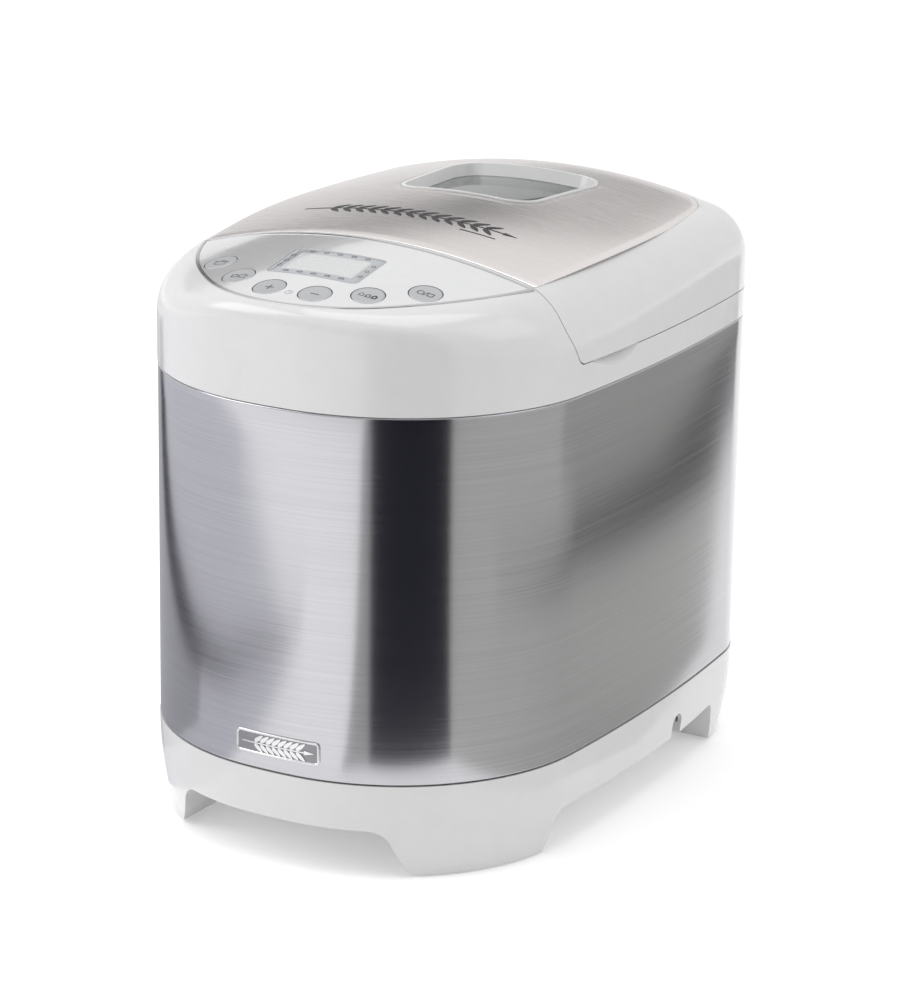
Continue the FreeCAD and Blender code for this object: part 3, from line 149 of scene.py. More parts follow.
LOOKS = {
    "white_plastic": finish("white_gloss_plastic", (0.64, 0.64, 0.643), 0.22, grain=(90, 90, 90),
                            vary=0.012, height=0.00002, Specular_IOR_Level=0.5, Coat_Weight=0.5,
                            Coat_Roughness=0.08),
    "brushed_steel": brushed("wrap_brushed_steel", (0.50, 0.497, 0.52), 0.175, (7, 7, 1500), 0.55,
                             vary=0.07, turn=0.25, height=0.0000012),
    "inlay_steel": brushed("inlay_brushed_steel", (0.92, 0.88, 0.865), 0.26, (60, 2600, 60), 0.6,
                           vary=0.035, turn=0.0, height=0.000002),
    "panel_plastic": finish("panel_gloss_plastic", (0.78, 0.78, 0.79), 0.13, 0.5, vary=0.015,
                            Coat_Weight=0.8, Coat_Roughness=0.05),
    "chrome_trim": finish("bright_trim", (0.68, 0.68, 0.69), 0.16, 1.0, vary=0.03),
    "button_silver": finish("satin_silver_key", (0.46, 0.465, 0.48), 0.34, 0.35,
                            grain=(900, 900, 900), height=0.000003),
    "clear_lens": finish("display_lens", (0.9, 0.92, 0.93), 0.03, vary=0.02, IOR=1.5,
                         Transmission_Weight=1.0),
    "window_glass": finish("window_glass", (0.72, 0.74, 0.76), 0.02, vary=0.02, IOR=1.5,
                           Transmission_Weight=1.0),
    "lcd_panel": finish("display_glass", (0.42, 0.45, 0.43), 0.35, vary=0.02),
    "circuit_board": finish("solder_mask", (0.03, 0.14, 0.06), 0.35, vary=0.15,
                            grain=(400, 400, 400)),
    "black_plastic": finish("black_moulded_plastic", (0.02, 0.02, 0.02), 0.45,
                            grain=(1500, 1500, 1500), vary=0.1, height=0.00001),
    "transformer_iron": finish("laminated_iron", (0.12, 0.12, 0.13), 0.5, 0.6,
                               grain=(40, 40, 1800), vary=0.25, height=0.00003),
    "zinc_sheet": finish("galvanised_sheet", (0.46, 0.47, 0.48), 0.38, 0.9, grain=(120, 120, 120),
                         vary=0.12),
    "chamber_steel": finish("chamber_bright_sheet", (0.50, 0.50, 0.51), 0.26, 0.95,
                            grain=(30, 30, 900), vary=0.06),
    "liner_aluminium": finish("liner_satin_sheet", (0.60, 0.60, 0.61), 0.32, 0.95,
                              grain=(900, 40, 40), vary=0.05),
    "silicone": finish("grey_silicone", (0.18, 0.18, 0.185), 0.55, vary=0.06),
    "rubber": finish("black_rubber", (0.025, 0.025, 0.025), 0.65, grain=(1200, 1200, 1200),
                     vary=0.15, height=0.00002),
    "nonstick_coating": finish("dark_nonstick", (0.045, 0.045, 0.048), 0.36, 0.25,
                               grain=(1600, 1600, 1600), vary=0.25, height=0.00001),
    "cast_aluminium": finish("die_cast_metal", (0.42, 0.42, 0.43), 0.42, 0.9,
                             grain=(700, 700, 700), vary=0.1, height=0.00002),
    "bronze": finish("sintered_bronze", (0.42, 0.29, 0.13), 0.4, 0.9, grain=(1500, 1500, 1500),
                     vary=0.15),
    "shaft_steel": finish("ground_steel", (0.55, 0.55, 0.56), 0.2, 1.0, grain=(300, 300, 300)),
    "heater_steel": finish("heater_sheath", (0.09, 0.085, 0.08), 0.5, 0.5,
                           grain=(500, 500, 500), vary=0.3),
    "belt_rubber": finish("belt_rubber", (0.018, 0.018, 0.018), 0.6, grain=(1200, 1200, 1200),
                          vary=0.15),
    "fan_plastic": finish("fan_grey_plastic", (0.05, 0.05, 0.052), 0.45, grain=(900, 900, 900)),
}

for part in frame["record"]["subparts"]:
    shown = NODES[part["node"]]
    for place in shown.material_slots:
        place.material = LOOKS[part["material_slot"]]


# ---------------------------------------------------------------- plan outline and crown

HALF_WIDTH, HALF_DEPTH = 119.8, 175.0
FRONT_ARC, SIDE_ARC, NEAR_CORNER = 236.0, 1070.0, 108.8
REAR_ARC, FAR_CORNER = 210.0, 60.0
OUTLINE_STEP = 2.0
CROWN_HIGH, CROWN_Y, CROWN_FRONT_ARC, CROWN_REAR_ARC = 314.8, 23.0, 774.0, 3000.0
ROLL_Y, ROLL_ARC, CROWN_CROSS_ARC = 100.0, 100.0, 352.0
BUTTONS = {"menu": (-59.5, -127.3), "loaf_size": (-37.4, -144.5), "plus": (-13.1, -154.2),
           "minus": (13.1, -154.2), "crust": (37.4, -144.5), "start_stop": (59.5, -127.3)}


def circle_meet(centre_a, radius_a, centre_b, radius_b, side):
    """Where two circles meet, on the front (-1) or rear (+1) side."""
    span = centre_b - centre_a
    along = (radius_a ** 2 - radius_b ** 2 + span.length ** 2) / (2 * span.length)
    offset = math.sqrt(radius_a ** 2 - along ** 2)
    unit = span.normalized()
    normal = Vector((-unit.y, unit.x))
    points = [centre_a + unit * along + normal * offset * sign for sign in (1, -1)]
    return max(points, key=lambda point: point.y * side)


def bearing(away):
    """Angle of a direction from the front (-Y) towards the right (+X)."""
    return math.atan2(away.x, -away.y)


def outline_runs():
    """(centre, radius, last bearing) of each arc from the front's middle to the rear's."""
    front_c = Vector((0, FRONT_ARC - HALF_DEPTH))
    side_c = Vector((HALF_WIDTH - SIDE_ARC, 0))
    rear_c = Vector((0, HALF_DEPTH - REAR_ARC))
    near_c = circle_meet(front_c, FRONT_ARC - NEAR_CORNER, side_c, SIDE_ARC - NEAR_CORNER, -1)
    far_c = circle_meet(rear_c, REAR_ARC - FAR_CORNER, side_c, SIDE_ARC - FAR_CORNER, 1)
    return [(front_c, FRONT_ARC, bearing(near_c - front_c)),
            (near_c, NEAR_CORNER, bearing(near_c - side_c)),
            (side_c, SIDE_ARC, bearing(far_c - side_c)),
            (far_c, FAR_CORNER, bearing(far_c - rear_c)),
            (rear_c, REAR_ARC, math.pi)]


RUNS = outline_runs()


def outline():
    """Points of the plan outline and their outward normals, all the way round."""
    half, start = [], 0.0
    for centre, radius, end in RUNS:
        count = max(2, round(radius * (end - start) / OUTLINE_STEP))
        for n in range(count):
            turn = start + (end - start) * n / count
            away = Vector((math.sin(turn), -math.cos(turn)))
            half.append((centre + away * radius, away))
        start = end
    rear = [(Vector((0, HALF_DEPTH)), Vector((0, 1)))]
    other = [(Vector((-p.x, p.y)), Vector((-n.x, n.y))) for p, n in reversed(half[1:])]
    return half + rear + other


def front_point(x, z, proud):
    """A point on the wrap's front at this x and z, standing this far out of the outline."""
    (front_c, front_r, turn), (near_c, near_r, _) = RUNS[:2]
    a = abs(x)
    centre, radius = (front_c, front_r) if a < math.sin(turn) * front_r else (near_c, near_r)
    reach = radius + proud
    return Vector((x, centre.y - math.sqrt(reach ** 2 - (a - centre.x) ** 2), z))


def crown(x, y):
    """Height of the top surface."""
    length = CROWN_FRONT_ARC if y < CROWN_Y else CROWN_REAR_ARC
    height = CROWN_HIGH - (y - CROWN_Y) ** 2 / (2 * length) - x * x / (2 * CROWN_CROSS_ARC)
    if y > ROLL_Y:
        height -= (y - ROLL_Y) ** 2 / (2 * ROLL_ARC)
    return height


def crown_normal(x, y):
    """Upward normal of the top surface."""
    rise = (y - CROWN_Y) / (CROWN_FRONT_ARC if y < CROWN_Y else CROWN_REAR_ARC)
    if y > ROLL_Y:
        rise += (y - ROLL_Y) / ROLL_ARC
    return Vector((x / CROWN_CROSS_ARC, rise, 1)).normalized()


# ---------------------------------------------------------------- mesh helpers

def made_piece(name, mesh, look, body, replaces=(), smooth=40):
    """Finish a piece: its material, shading, body and the CAD nodes it stands for."""
    mesh.materials.append(look)
    made = bpy.data.objects.new(name, mesh)
    bpy.context.scene.collection.objects.link(made)
    work = bmesh.new()
    work.from_mesh(mesh)
    bmesh.ops.recalc_face_normals(work, faces=work.faces)
    limit = math.radians(smooth)
    for edge in work.edges:
        edge.smooth = edge.is_boundary or edge.calc_face_angle(0) < limit
    for face in work.faces:
        face.smooth = True
    work.to_mesh(mesh)
    work.free()
    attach(made, body)
    if replaces:
        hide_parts(*replaces)
    return made


def mesh_of(name, verts, faces):
    """A mesh from vertices in millimetres."""
    mesh = bpy.data.meshes.new(name)
    mesh.from_pydata([Vector(v) * MM for v in verts], [], faces)
    return mesh


def rings_mesh(name, rings, close_rings=False, cap_first=False, cap_last=False):
    """Quads between closed rings of equal length; close_rings joins the last to the first."""
    count, verts, faces = len(rings[0]), [], []
    for ring in rings:
        verts.extend(ring)
    spans = len(rings) if close_rings else len(rings) - 1
    for row in range(spans):
        low, high = row * count, (row + 1) % len(rings) * count
        for n in range(count):
            m = (n + 1) % count
            faces.append((low + n, low + m, high + m, high + n))
    if cap_first:
        faces.append(tuple(range(count)))
    if cap_last:
        faces.append(tuple(range((len(rings) - 1) * count, len(rings) * count)))
    return mesh_of(name, verts, faces)


def fillet_path(corners, radii, count=14, runs=16):
    """Points along a closed polygon with rounded corners: steps in each corner and side."""
    path, ends = [], []
    for n, here in enumerate(corners):
        here = Vector(here)
        back = (Vector(corners[n - 1]) - here).normalized()
        ahead = (Vector(corners[(n + 1) % len(corners)]) - here).normalized()
        half = back.angle(ahead) / 2
        radius = radii[n]
        reach = radius / math.tan(half)
        centre = here + (back + ahead).normalized() * (radius / math.sin(half))
        start, end = here + back * reach - centre, here + ahead * reach - centre
        turn = [centre + start.slerp(end, k / count).normalized() * radius
                for k in range(count + 1)]
        ends.append(turn)
    for n, turn in enumerate(ends):
        after = ends[(n + 1) % len(ends)][0]
        path += turn + [turn[-1].lerp(after, k / runs) for k in range(1, runs)]
    return path


def decal(name, shapes, place, thick, look, body):
    """Flat shapes, each a list of (u, v) corners, as thin plates laid on a surface by place."""
    verts, faces = [], []
    for shape in shapes:
        first, count = len(verts), len(shape)
        verts.extend(place(u, v, thick) for u, v in shape)
        verts.extend(place(u, v, -0.02) for u, v in shape)
        faces.append(tuple(range(first, first + count)))
        faces.append(tuple(range(first + 2 * count - 1, first + count - 1, -1)))
        for n in range(count):
            m = (n + 1) % count
            faces.append((first + n, first + count + n, first + count + m, first + m))
    return made_piece(name, mesh_of(name, verts, faces), look, body, smooth=20)


def stroke(points, width, closed=False):
    """A line of some width in short round-ended pieces, so that it can follow a curved face."""
    ends = [Vector(p) for p in (points + points[:1] if closed else points)]
    path = ends[:1]
    for a, b in zip(ends, ends[1:]):
        pieces = max(1, math.ceil((b - a).length / 4))
        path += [a.lerp(b, n / pieces) for n in range(1, pieces + 1)]
    shapes = []
    for a, b in zip(path, path[1:]):
        if (b - a).length < 1e-6:
            continue
        along = (b - a).normalized() * (width / 2)
        across = Vector((-along.y, along.x))
        half = [across, (across + along) * 0.72, along, (along - across) * 0.72, -across]
        shapes.append([tuple(b + h) for h in half] + [tuple(a - h) for h in half])
    return shapes


def oval(x, y, rx, ry, turn=0.0, count=20, first=0.0, last=360.0):
    """Points of an ellipse, or of part of it."""
    points = []
    for n in range(count):
        share = n / count if last - first >= 360 else n / (count - 1)
        t = math.radians(first + (last - first) * share)
        u, v = rx * math.cos(t), ry * math.sin(t)
        points.append((x + u * math.cos(turn) - v * math.sin(turn),
                       y + u * math.sin(turn) + v * math.cos(turn)))
    return points


def wheat_ear(x, y, length, grains, size, first):
    """A lying ear of wheat: a stem and pairs of pointed grains from this share of it on."""
    shapes = stroke([(x, y), (x + length, y)], size * 0.13)
    for n in range(grains):
        at = x + length * (first + (0.97 - first) * n / grains)
        for side in (1, -1):
            lean = side * math.radians(38)
            centre = Vector((at + size * 0.5, y + side * size * 0.5))
            grain = []
            for k in range(12):
                t = 2 * math.pi * k / 12
                u = size * 0.62 * math.cos(t)
                v = size * 0.2 * math.sin(t) * (1 - 0.35 * math.cos(t))
                grain.append((centre.x + u * math.cos(lean) - v * math.sin(lean),
                              centre.y + u * math.sin(lean) + v * math.cos(lean)))
            shapes.append(grain)
    tip = x + length
    shapes.append([(tip, y - size * 0.22), (tip + size * 1.1, y), (tip, y + size * 0.22)])
    return shapes


# ---------------------------------------------------------------- steel wrap

def steel_sleeve():
    """The wrap: one sheet whose top and bottom edges are rolled inwards."""
    low, high, sheet, roll, skin = 51.1, 240.3, 0.8, 1.1, 0.3
    inner = skin + roll + sheet
    quarter = [math.radians(15 * n) for n in range(7)]
    profile = [(skin + roll - roll * math.sin(t), low + roll - roll * math.cos(t))
               for t in quarter]
    profile += [(skin, low + roll + (high - low - 2 * roll) * n / 12) for n in range(1, 12)]
    profile += [(skin + roll - roll * math.cos(t), high - roll + roll * math.sin(t))
                for t in quarter]
    profile += [(inner, high), (inner, high - sheet), (skin + sheet, high - roll - sheet),
                (skin + sheet, low + roll + sheet), (inner, low + sheet), (inner, low)]
    rings = [[(p.x - n.x * inset, p.y - n.y * inset, z) for p, n in outline()]
             for inset, z in profile]
    made_piece("wrap_sleeve", rings_mesh("wrap_sleeve", rings, close_rings=True),
               LOOKS["brushed_steel"], "root", ("steel_wrap",))


steel_sleeve()


# ---------------------------------------------------------------- lid inlay

def arc_points(centre, radius, first, last, count):
    """Points on an arc between two bearings."""
    return [Vector(centre) + Vector((math.sin(t), -math.cos(t))) * radius
            for t in (first + (last - first) * n / count for n in range(count + 1))]


INLAY_HALF, INLAY_MID, INLAY_FRONT, INLAY_REAR = 103.2, 4, -83.2, 131
INLAY_SIDE_ARC, INLAY_CORNER, INLAY_REAR_ARC = 505, 42, 400


def inlay_path():
    """The inlay's edge: bowed sides and rear, round rear corners and a straight front."""
    side_c = Vector((INLAY_HALF - INLAY_SIDE_ARC, INLAY_MID))
    rear_c = Vector((0, INLAY_REAR - INLAY_REAR_ARC))
    corner_c = circle_meet(rear_c, INLAY_REAR_ARC - INLAY_CORNER,
                           side_c, INLAY_SIDE_ARC - INLAY_CORNER, 1)
    low = math.pi / 2 - math.asin((INLAY_MID - INLAY_FRONT) / INLAY_SIDE_ARC)
    turn = bearing(corner_c - side_c)
    end = bearing(corner_c - rear_c)
    right = arc_points(side_c, INLAY_SIDE_ARC, low, turn, 60)
    right += arc_points(corner_c, INLAY_CORNER, turn, end, 30)[1:]
    right += arc_points(rear_c, INLAY_REAR_ARC, end, math.pi, 30)[1:]
    left = [Vector((-p.x, p.y)) for p in reversed(right[:-1])]
    front_run = [Vector((left[-1].x + (right[0].x - left[-1].x) * n / 40, INLAY_FRONT))
                 for n in range(1, 40)]
    return right + left + front_run


def window_path(inset):
    """The window's opening in the inlay, drawn in by inset."""
    half, front, rear = 47 - inset, 7 + inset, 88 - inset
    taper, corner = 6, 16 - inset
    return fillet_path([(-half + taper, front), (half - taper, front), (half, rear),
                        (-half, rear)], [corner] * 4)


def around(path, centre, turns):
    """Distance from centre to a closed path at each of the turns."""
    found = []
    for turn in turns:
        ray = Vector((math.cos(turn), math.sin(turn)))
        best = None
        for n, point in enumerate(path):
            a, b = Vector(point) - centre, Vector(path[(n + 1) % len(path)]) - centre
            edge = b - a
            cross = ray.x * edge.y - ray.y * edge.x
            if abs(cross) < 1e-9:
                continue
            reach = (a.x * edge.y - a.y * edge.x) / cross
            share = (a.x * ray.y - a.y * ray.x) / cross
            if reach > 0 and -1e-6 <= share <= 1 + 1e-6 and (best is None or reach > best):
                best = reach
        found.append(best)
    return found


def steel_inlay():
    """The inlay: a sheet on the crown between the window and its own edge, both softened."""
    centre = Vector((0, 47.5))
    outer = inlay_path()
    turns = sorted({round(math.atan2(p.y - centre.y, p.x - centre.x), 6) for p in outer}
                   | {round(2 * math.pi * n / 240 - math.pi, 6) for n in range(240)})
    far = around(outer, centre, turns)
    near = around(window_path(-0.2), centre, turns)
    edge, thick = 0.35, 0.8
    rows = [(0.0, thick), (0.0, edge), (edge * 0.3, edge * 0.3), (edge, 0.0)]
    spans = [(0, low, down) for low, down in rows]
    spans += [(n / 14, 0, 0) for n in range(1, 14)]
    spans += [(1, low, down) for low, down in reversed(rows)]
    rings = []
    for share, edge_in, down in spans:
        ring = []
        for turn, inner, outer_reach in zip(turns, near, far):
            low, high = inner + edge, outer_reach - edge
            if share == 0:
                reach = inner + edge_in
            elif share == 1:
                reach = outer_reach - edge_in
            else:
                reach = low + (high - low) * share
            x, y = centre.x + reach * math.cos(turn), centre.y + reach * math.sin(turn)
            ring.append((x, y, crown(x, y) - down))
        rings.append(ring)
    made_piece("inlay_sheet", rings_mesh("inlay_sheet", rings, close_rings=True),
               LOOKS["inlay_steel"], "lid", ("lid_inlay",))


steel_inlay()


# ---------------------------------------------------------------- keys and their symbols

def key_symbols():
    """Generic marks for the six keys, in millimetres about each key's middle."""
    pot = stroke([(-3.2, 1.4), (-3.2, -1.6), (-2.4, -2.3), (2.4, -2.3), (3.2, -1.6), (3.2, 1.4)],
                 0.5) + stroke([(-4.2, 1.4), (4.2, 1.4)], 0.5) + stroke([(-1, 2.6), (1, 2.6)], 0.5)
    loaves = []
    for x, size in ((-2.4, 0.85), (2.3, 1.15)):
        loaf = [(x - 1.6 * size, -1.6), (x - 1.6 * size, 0.2 * size)]
        loaf += oval(x, 0.4 * size, 1.9 * size, 1.3 * size, 0, 9, 190, -10)
        loaf += [(x + 1.6 * size, 0.2 * size), (x + 1.6 * size, -1.6)]
        loaves += stroke(loaf, 0.5, True)
    slices = []
    for x, width in ((-3.6, 0.35), (0, 0.6), (3.6, 0.9)):
        slices += stroke([(x - 1.1, -1.4), (x - 1.1, 0.5), (x, 1.4), (x + 1.1, 0.5),
                          (x + 1.1, -1.4)], width, True)
    return {"menu": pot, "loaf_size": loaves,
            "plus": stroke([(-2.2, 0), (2.2, 0)], 0.6) + stroke([(0, -2.2), (0, 2.2)], 0.6),
            "minus": stroke([(-2.2, 0), (2.2, 0)], 0.6), "crust": slices,
            "start_stop": stroke(oval(-2.7, 0, 1.7, 1.7), 0.5, True)
            + stroke([(-0.7, -1.9), (0.7, 1.9)], 0.5)
            + stroke([(1.3, -1.5), (4.3, -1.5), (4.3, 1.5), (1.3, 1.5)], 0.5, True)}


def key_cap(name, x, y):
    """A round key: a shallow dished face, a rounded rim, and the stem under it."""
    normal = crown_normal(x, y)
    centre = Vector((x, y, crown(x, y)))
    sideways = Vector((1, 0, 0))
    along = (sideways - normal * sideways.dot(normal)).normalized()
    across = normal.cross(along)
    radius, rim, stem, stem_low, skirt_low = 8.3, 0.55, 3.3, -5.0, -2.0
    profile = [(0.01, -0.22), (2, -0.21), (4, -0.17), (6, -0.09), (7.1, -0.02), (7.5, 0.0)]
    for n in range(1, 7):
        t = math.radians(15 * n)
        profile.append((radius - rim + rim * math.sin(t), -rim + rim * math.cos(t)))
    profile += [(radius, skirt_low), (stem, skirt_low), (stem, stem_low), (0.01, stem_low)]
    spokes = []
    for n in range(64):
        t = 2 * math.pi * n / 64
        spokes.append(along * math.cos(t) + across * math.sin(t))
    rings = [[centre + normal * high + spoke * reach for spoke in spokes]
             for reach, high in profile]
    body = "button_%s_key" % name
    made_piece("key_" + name, rings_mesh("key_" + name, rings, False, True, True),
               LOOKS["button_silver"], body, ("button_" + name,), smooth=30)

    def place(u, v, lift):
        deep, flat_at = 0.22, 56
        dish = deep * (min(1, (u * u + v * v) / flat_at) - 1)
        return centre + along * u + across * v + normal * (lift + dish)

    decal("symbol_" + name, key_symbols()[name], place, 0.035, INK, body)


INK = finish("printed_ink", (0.025, 0.025, 0.028), 0.4, grain=(600, 600, 600), vary=0.1)
PALE_INK = finish("pale_ink", (0.30, 0.31, 0.32), 0.4, grain=(600, 600, 600), vary=0.1)

for key, (key_x, key_y) in BUTTONS.items():
    key_cap(key, key_x, key_y)


def on_top(u, v, lift):
    """A point this far above the crown."""
    return Vector((u, v, crown(u, v))) + crown_normal(u, v) * lift


CLOCK_Y = -157.2
clock = stroke(oval(0, CLOCK_Y, 1.8, 1.8), 0.35, True)
clock += stroke([(0, CLOCK_Y + 1.1), (0, CLOCK_Y), (0.9, CLOCK_Y)], 0.3)
decal("clock_mark", clock, on_top, 0.03, PALE_INK, "root")


# ---------------------------------------------------------------- display

def plate_on_top(name, path, high, low, look, replaces=(), body="root", rows=10):
    """A plate that follows the crown inside a closed path, with a softened edge."""
    middle = sum((Vector(p) for p in path), Vector((0, 0))) / len(path)
    rings = []
    for n in range(1, rows):
        rings.append([on_top(*(middle + (Vector(p) - middle) * (n / rows)), high)
                      for p in path])
    rings.append([on_top(*(Vector(p) + (middle - Vector(p)).normalized() * 0.25), high)
                  for p in path])
    rings.append([on_top(*p, high - 0.18) for p in path])
    rings.append([on_top(*p, low) for p in path])
    mesh = rings_mesh(name, rings, False, True, True)
    return made_piece(name, mesh, look, body, replaces, smooth=50)


FRAME_GREY = finish("display_frame", (0.36, 0.375, 0.395), 0.12, grain=(300, 300, 300), vary=0.03,
                    Coat_Weight=1.0, Coat_Roughness=0.03)
SCREEN = finish("display_screen", (0.56, 0.575, 0.575), 0.25, grain=(500, 500, 500), vary=0.02,
                Coat_Weight=1.0, Coat_Roughness=0.03)


def oblong(half, front, rear, corner):
    """A rectangle across the middle with rounded corners."""
    return fillet_path([(-half, front), (half, front), (half, rear), (-half, rear)],
                       [corner] * 4)


plate_on_top("display_face", oblong(26.2, -137.9, -107.1, 2.9), -0.05, -1.4, FRAME_GREY,
             ("lcd_lens",), rows=8)
plate_on_top("display_screen", oblong(20.5, -132.6, -112.6, 0.8), 0.0, -0.4, SCREEN)


def display_marks():
    """Plain pictograms on the frame round the screen."""
    shapes = []
    for n in range(5):
        x = -16 + 8 * n
        shapes += stroke(oval(x, -109.8, 1.3, 0.9, 0, 8), 0.35, True)
        shapes += stroke([(x - 1.4, -135.3), (x - 1.4, -134.5), (x, -133.9), (x + 1.4, -134.5),
                          (x + 1.4, -135.3)], 0.35, True)
    for n in range(3):
        y = -129 + 6.4 * n
        shapes += stroke([(-24.4, y - 1), (-22.2, y - 1), (-22.2, y + 1), (-24.4, y + 1)], 0.3, True)
        shapes += stroke(oval(23.3, y, 1.1, 1.0, 0, 8), 0.3, True)
    return shapes


decal("display_marks", display_marks(), lambda u, v, lift: on_top(u, v, lift - 0.02), 0.03,
      INK, "root")


# ---------------------------------------------------------------- badge and lid motif

BADGE_GREY = finish("badge_satin", (0.27, 0.27, 0.285), 0.42, 0.9, grain=(900, 900, 900), vary=0.08)


def badge():
    """The badge: a raised rim, a darker field and a raised ear of wheat, bent to the wrap."""
    left, right, low, high, corner = -19.3, 29.1, 59.0, 71.0, 2.6
    rim_in, floor_out, field_out, motif_thick = 1.3, 0.28, 0.31, 0.36
    corners = [(left, low), (right, low), (right, high), (left, high)]
    middle = Vector(((left + right) / 2, (low + high) / 2))

    def inset_path(inset):
        pulled = [(x + math.copysign(inset, middle.x - x), z + math.copysign(inset, middle.y - z))
                  for x, z in corners]
        return fillet_path(pulled, [corner - inset] * 4)

    profile = [(0, -0.25), (0, 0.35), (0.12, 0.55), (0.35, 0.66), (0.7, 0.66), (0.95, 0.56),
               (1.1, 0.36), (rim_in, floor_out)]
    rings = [[front_point(x, z, proud) for x, z in inset_path(inset)] for inset, proud in profile]
    inner = inset_path(rim_in)

    def filled(proud):
        return [[front_point(*(middle + (Vector(p) - middle) * share), proud) for p in inner]
                for share in (0.8, 0.55, 0.3, 0.08)]

    plate = rings + filled(floor_out)
    made_piece("badge_plate", rings_mesh("badge_plate", plate, False, True, True),
               LOOKS["chrome_trim"], "root", ("front_badge",), smooth=35)
    field = [[front_point(x, z, proud) for x, z in inner] for proud in (0.2, field_out)]
    field += filled(field_out)
    made_piece("badge_field", rings_mesh("badge_field", field, False, True, True),
               BADGE_GREY, "root")
    motif = wheat_ear(middle.x - 20, middle.y, 36, 8, 5.2, 0.2)

    def place(u, v, lift):
        return front_point(u, v, field_out + lift)

    decal("badge_motif", motif, place, motif_thick, LOOKS["chrome_trim"], "root")


badge()


def lid_mark():
    """A long ear of wheat lying across the lid, with a short line under its tip."""
    clear_of_sheet, ink_thick = 0.06, 0.05
    ear = wheat_ear(-64, -41, 118, 13, 7.4, 0.14)
    line = stroke([(34, -50.5), (54, -50.5)], 0.9)
    decal("lid_motif", ear + line, lambda u, v, lift: on_top(u, v, lift + clear_of_sheet),
          ink_thick, INK, "lid")


lid_mark()


# ---------------------------------------------------------------- liner screws

def screw_head(name, x, y, z, body):
    """A pan head whose crown faces down."""
    profile = [(0.01, -1.4), (1.2, -1.35), (2.2, -1.0), (2.8, -0.3), (2.8, 0.0), (0.01, 0.0)]
    turns = [2 * math.pi * n / 32 for n in range(32)]
    rings = [[(x + r * math.cos(t), y + r * math.sin(t), z + h) for t in turns]
             for r, h in profile]
    made_piece(name, rings_mesh(name, rings, False, True, True), LOOKS["shaft_steel"], body)


LINER_FACE = 257.2
LINER_SCREWS = [(88, -44), (-88, -44), (88, 122), (-88, 122)]
for number, (screw_x, screw_y) in enumerate(LINER_SCREWS):
    screw_head("liner_screw_%d" % number, screw_x, screw_y, LINER_FACE, "lid")


# ---------------------------------------------------------------- floor, light and camera

def surface(name, verts, faces, look):
    """A flat sheet of the studio, from vertices in millimetres."""
    mesh = mesh_of(name, verts, faces)
    mesh.materials.append(look)
    made = bpy.data.objects.new(name, mesh)
    bpy.context.scene.collection.objects.link(made)
    return made


FLOOR_HALF, FLOOR_LEVEL = 9000, -0.2
floor_look = finish("white_paper", (0.93, 0.93, 0.93), 0.85, grain=(20, 20, 20), vary=0.004,
                    Emission_Color=(1, 1, 1, 1), Emission_Strength=0.22)
floor = surface("floor", [(-FLOOR_HALF, -FLOOR_HALF, FLOOR_LEVEL),
                          (FLOOR_HALF, -FLOOR_HALF, FLOOR_LEVEL),
                          (FLOOR_HALF, FLOOR_HALF, FLOOR_LEVEL),
                          (-FLOOR_HALF, FLOOR_HALF, FLOOR_LEVEL)], [(0, 1, 2, 3)], floor_look)


def studio_card(name, verts, faces, shade, blue=1.0):
    """A dark or grey card in the studio, seen only in glossy reflections."""
    look = finish("card_" + name, (shade, shade, shade * blue), 0.9, grain=(8, 8, 8), vary=0.02,
                  Specular_IOR_Level=0.0)
    card = surface("card_" + name, verts, faces, look)
    card.visible_camera = False
    card.visible_diffuse = False
    card.visible_shadow = False
    card.visible_transmission = False
    return card


def floor_card(name, level, corners, shade, blue=1.0):
    """A card lying this far above the floor, inside these corners."""
    verts = [(x, y, level) for x, y in corners]
    studio_card(name, verts, [tuple(range(len(corners)))], shade, blue)


def floor_ribbon(name, middle, widths, shade, blue=1.0):
    """A bent strip of card just above the floor cards."""
    level, verts = 3, []
    for n, point in enumerate(middle):
        here = Vector(point)
        after = Vector(middle[min(n + 1, len(middle) - 1)])
        along = (after - Vector(middle[max(n - 1, 0)])).normalized()
        across = Vector((-along.y, along.x)) * widths[n] / 2
        verts += [(*(here + across), level), (*(here - across), level)]
    faces = [(n, n + 1, n + 3, n + 2) for n in range(0, len(verts) - 2, 2)]
    studio_card(name, verts, faces, shade, blue)


def studio_backdrop(name, first, last, low, high, reach, shade, count=12):
    """Part of a round wall, between two azimuths and two elevations seen from 300 mm up."""
    verts = []
    for n in range(count + 1):
        a = math.radians(first + (last - first) * n / count)
        for rise in (low, high):
            verts.append((reach * math.sin(a), -reach * math.cos(a),
                          300 + reach * math.tan(math.radians(rise))))
    faces = [(n, n + 1, n + 3, n + 2) for n in range(0, len(verts) - 2, 2)]
    studio_card(name, verts, faces, shade)


# A dark gap in the lighting, in front to the right: cards seen only in reflections paint the dark
# band at the steel's near corner.
DARK, DARK_BLUE = 0.022, 1.4
floor_card("dark_band_reflection", 3, [(92, -290), (222, -215), (2650, -1720), (900, -3100)], DARK,
           DARK_BLUE)
floor_card("dark_soft_edge", 2, [(40, -290), (110, -290), (940, -3100), (760, -3100)], 0.42)
dark_wall = studio_card("dark_wall", [(880, -3090, 0), (2660, -1710, 0), (2660, -1710, 2600),
                                      (880, -3090, 2600)], [(0, 1, 2, 3)], DARK, DARK_BLUE)
dark_wall.visible_diffuse = True
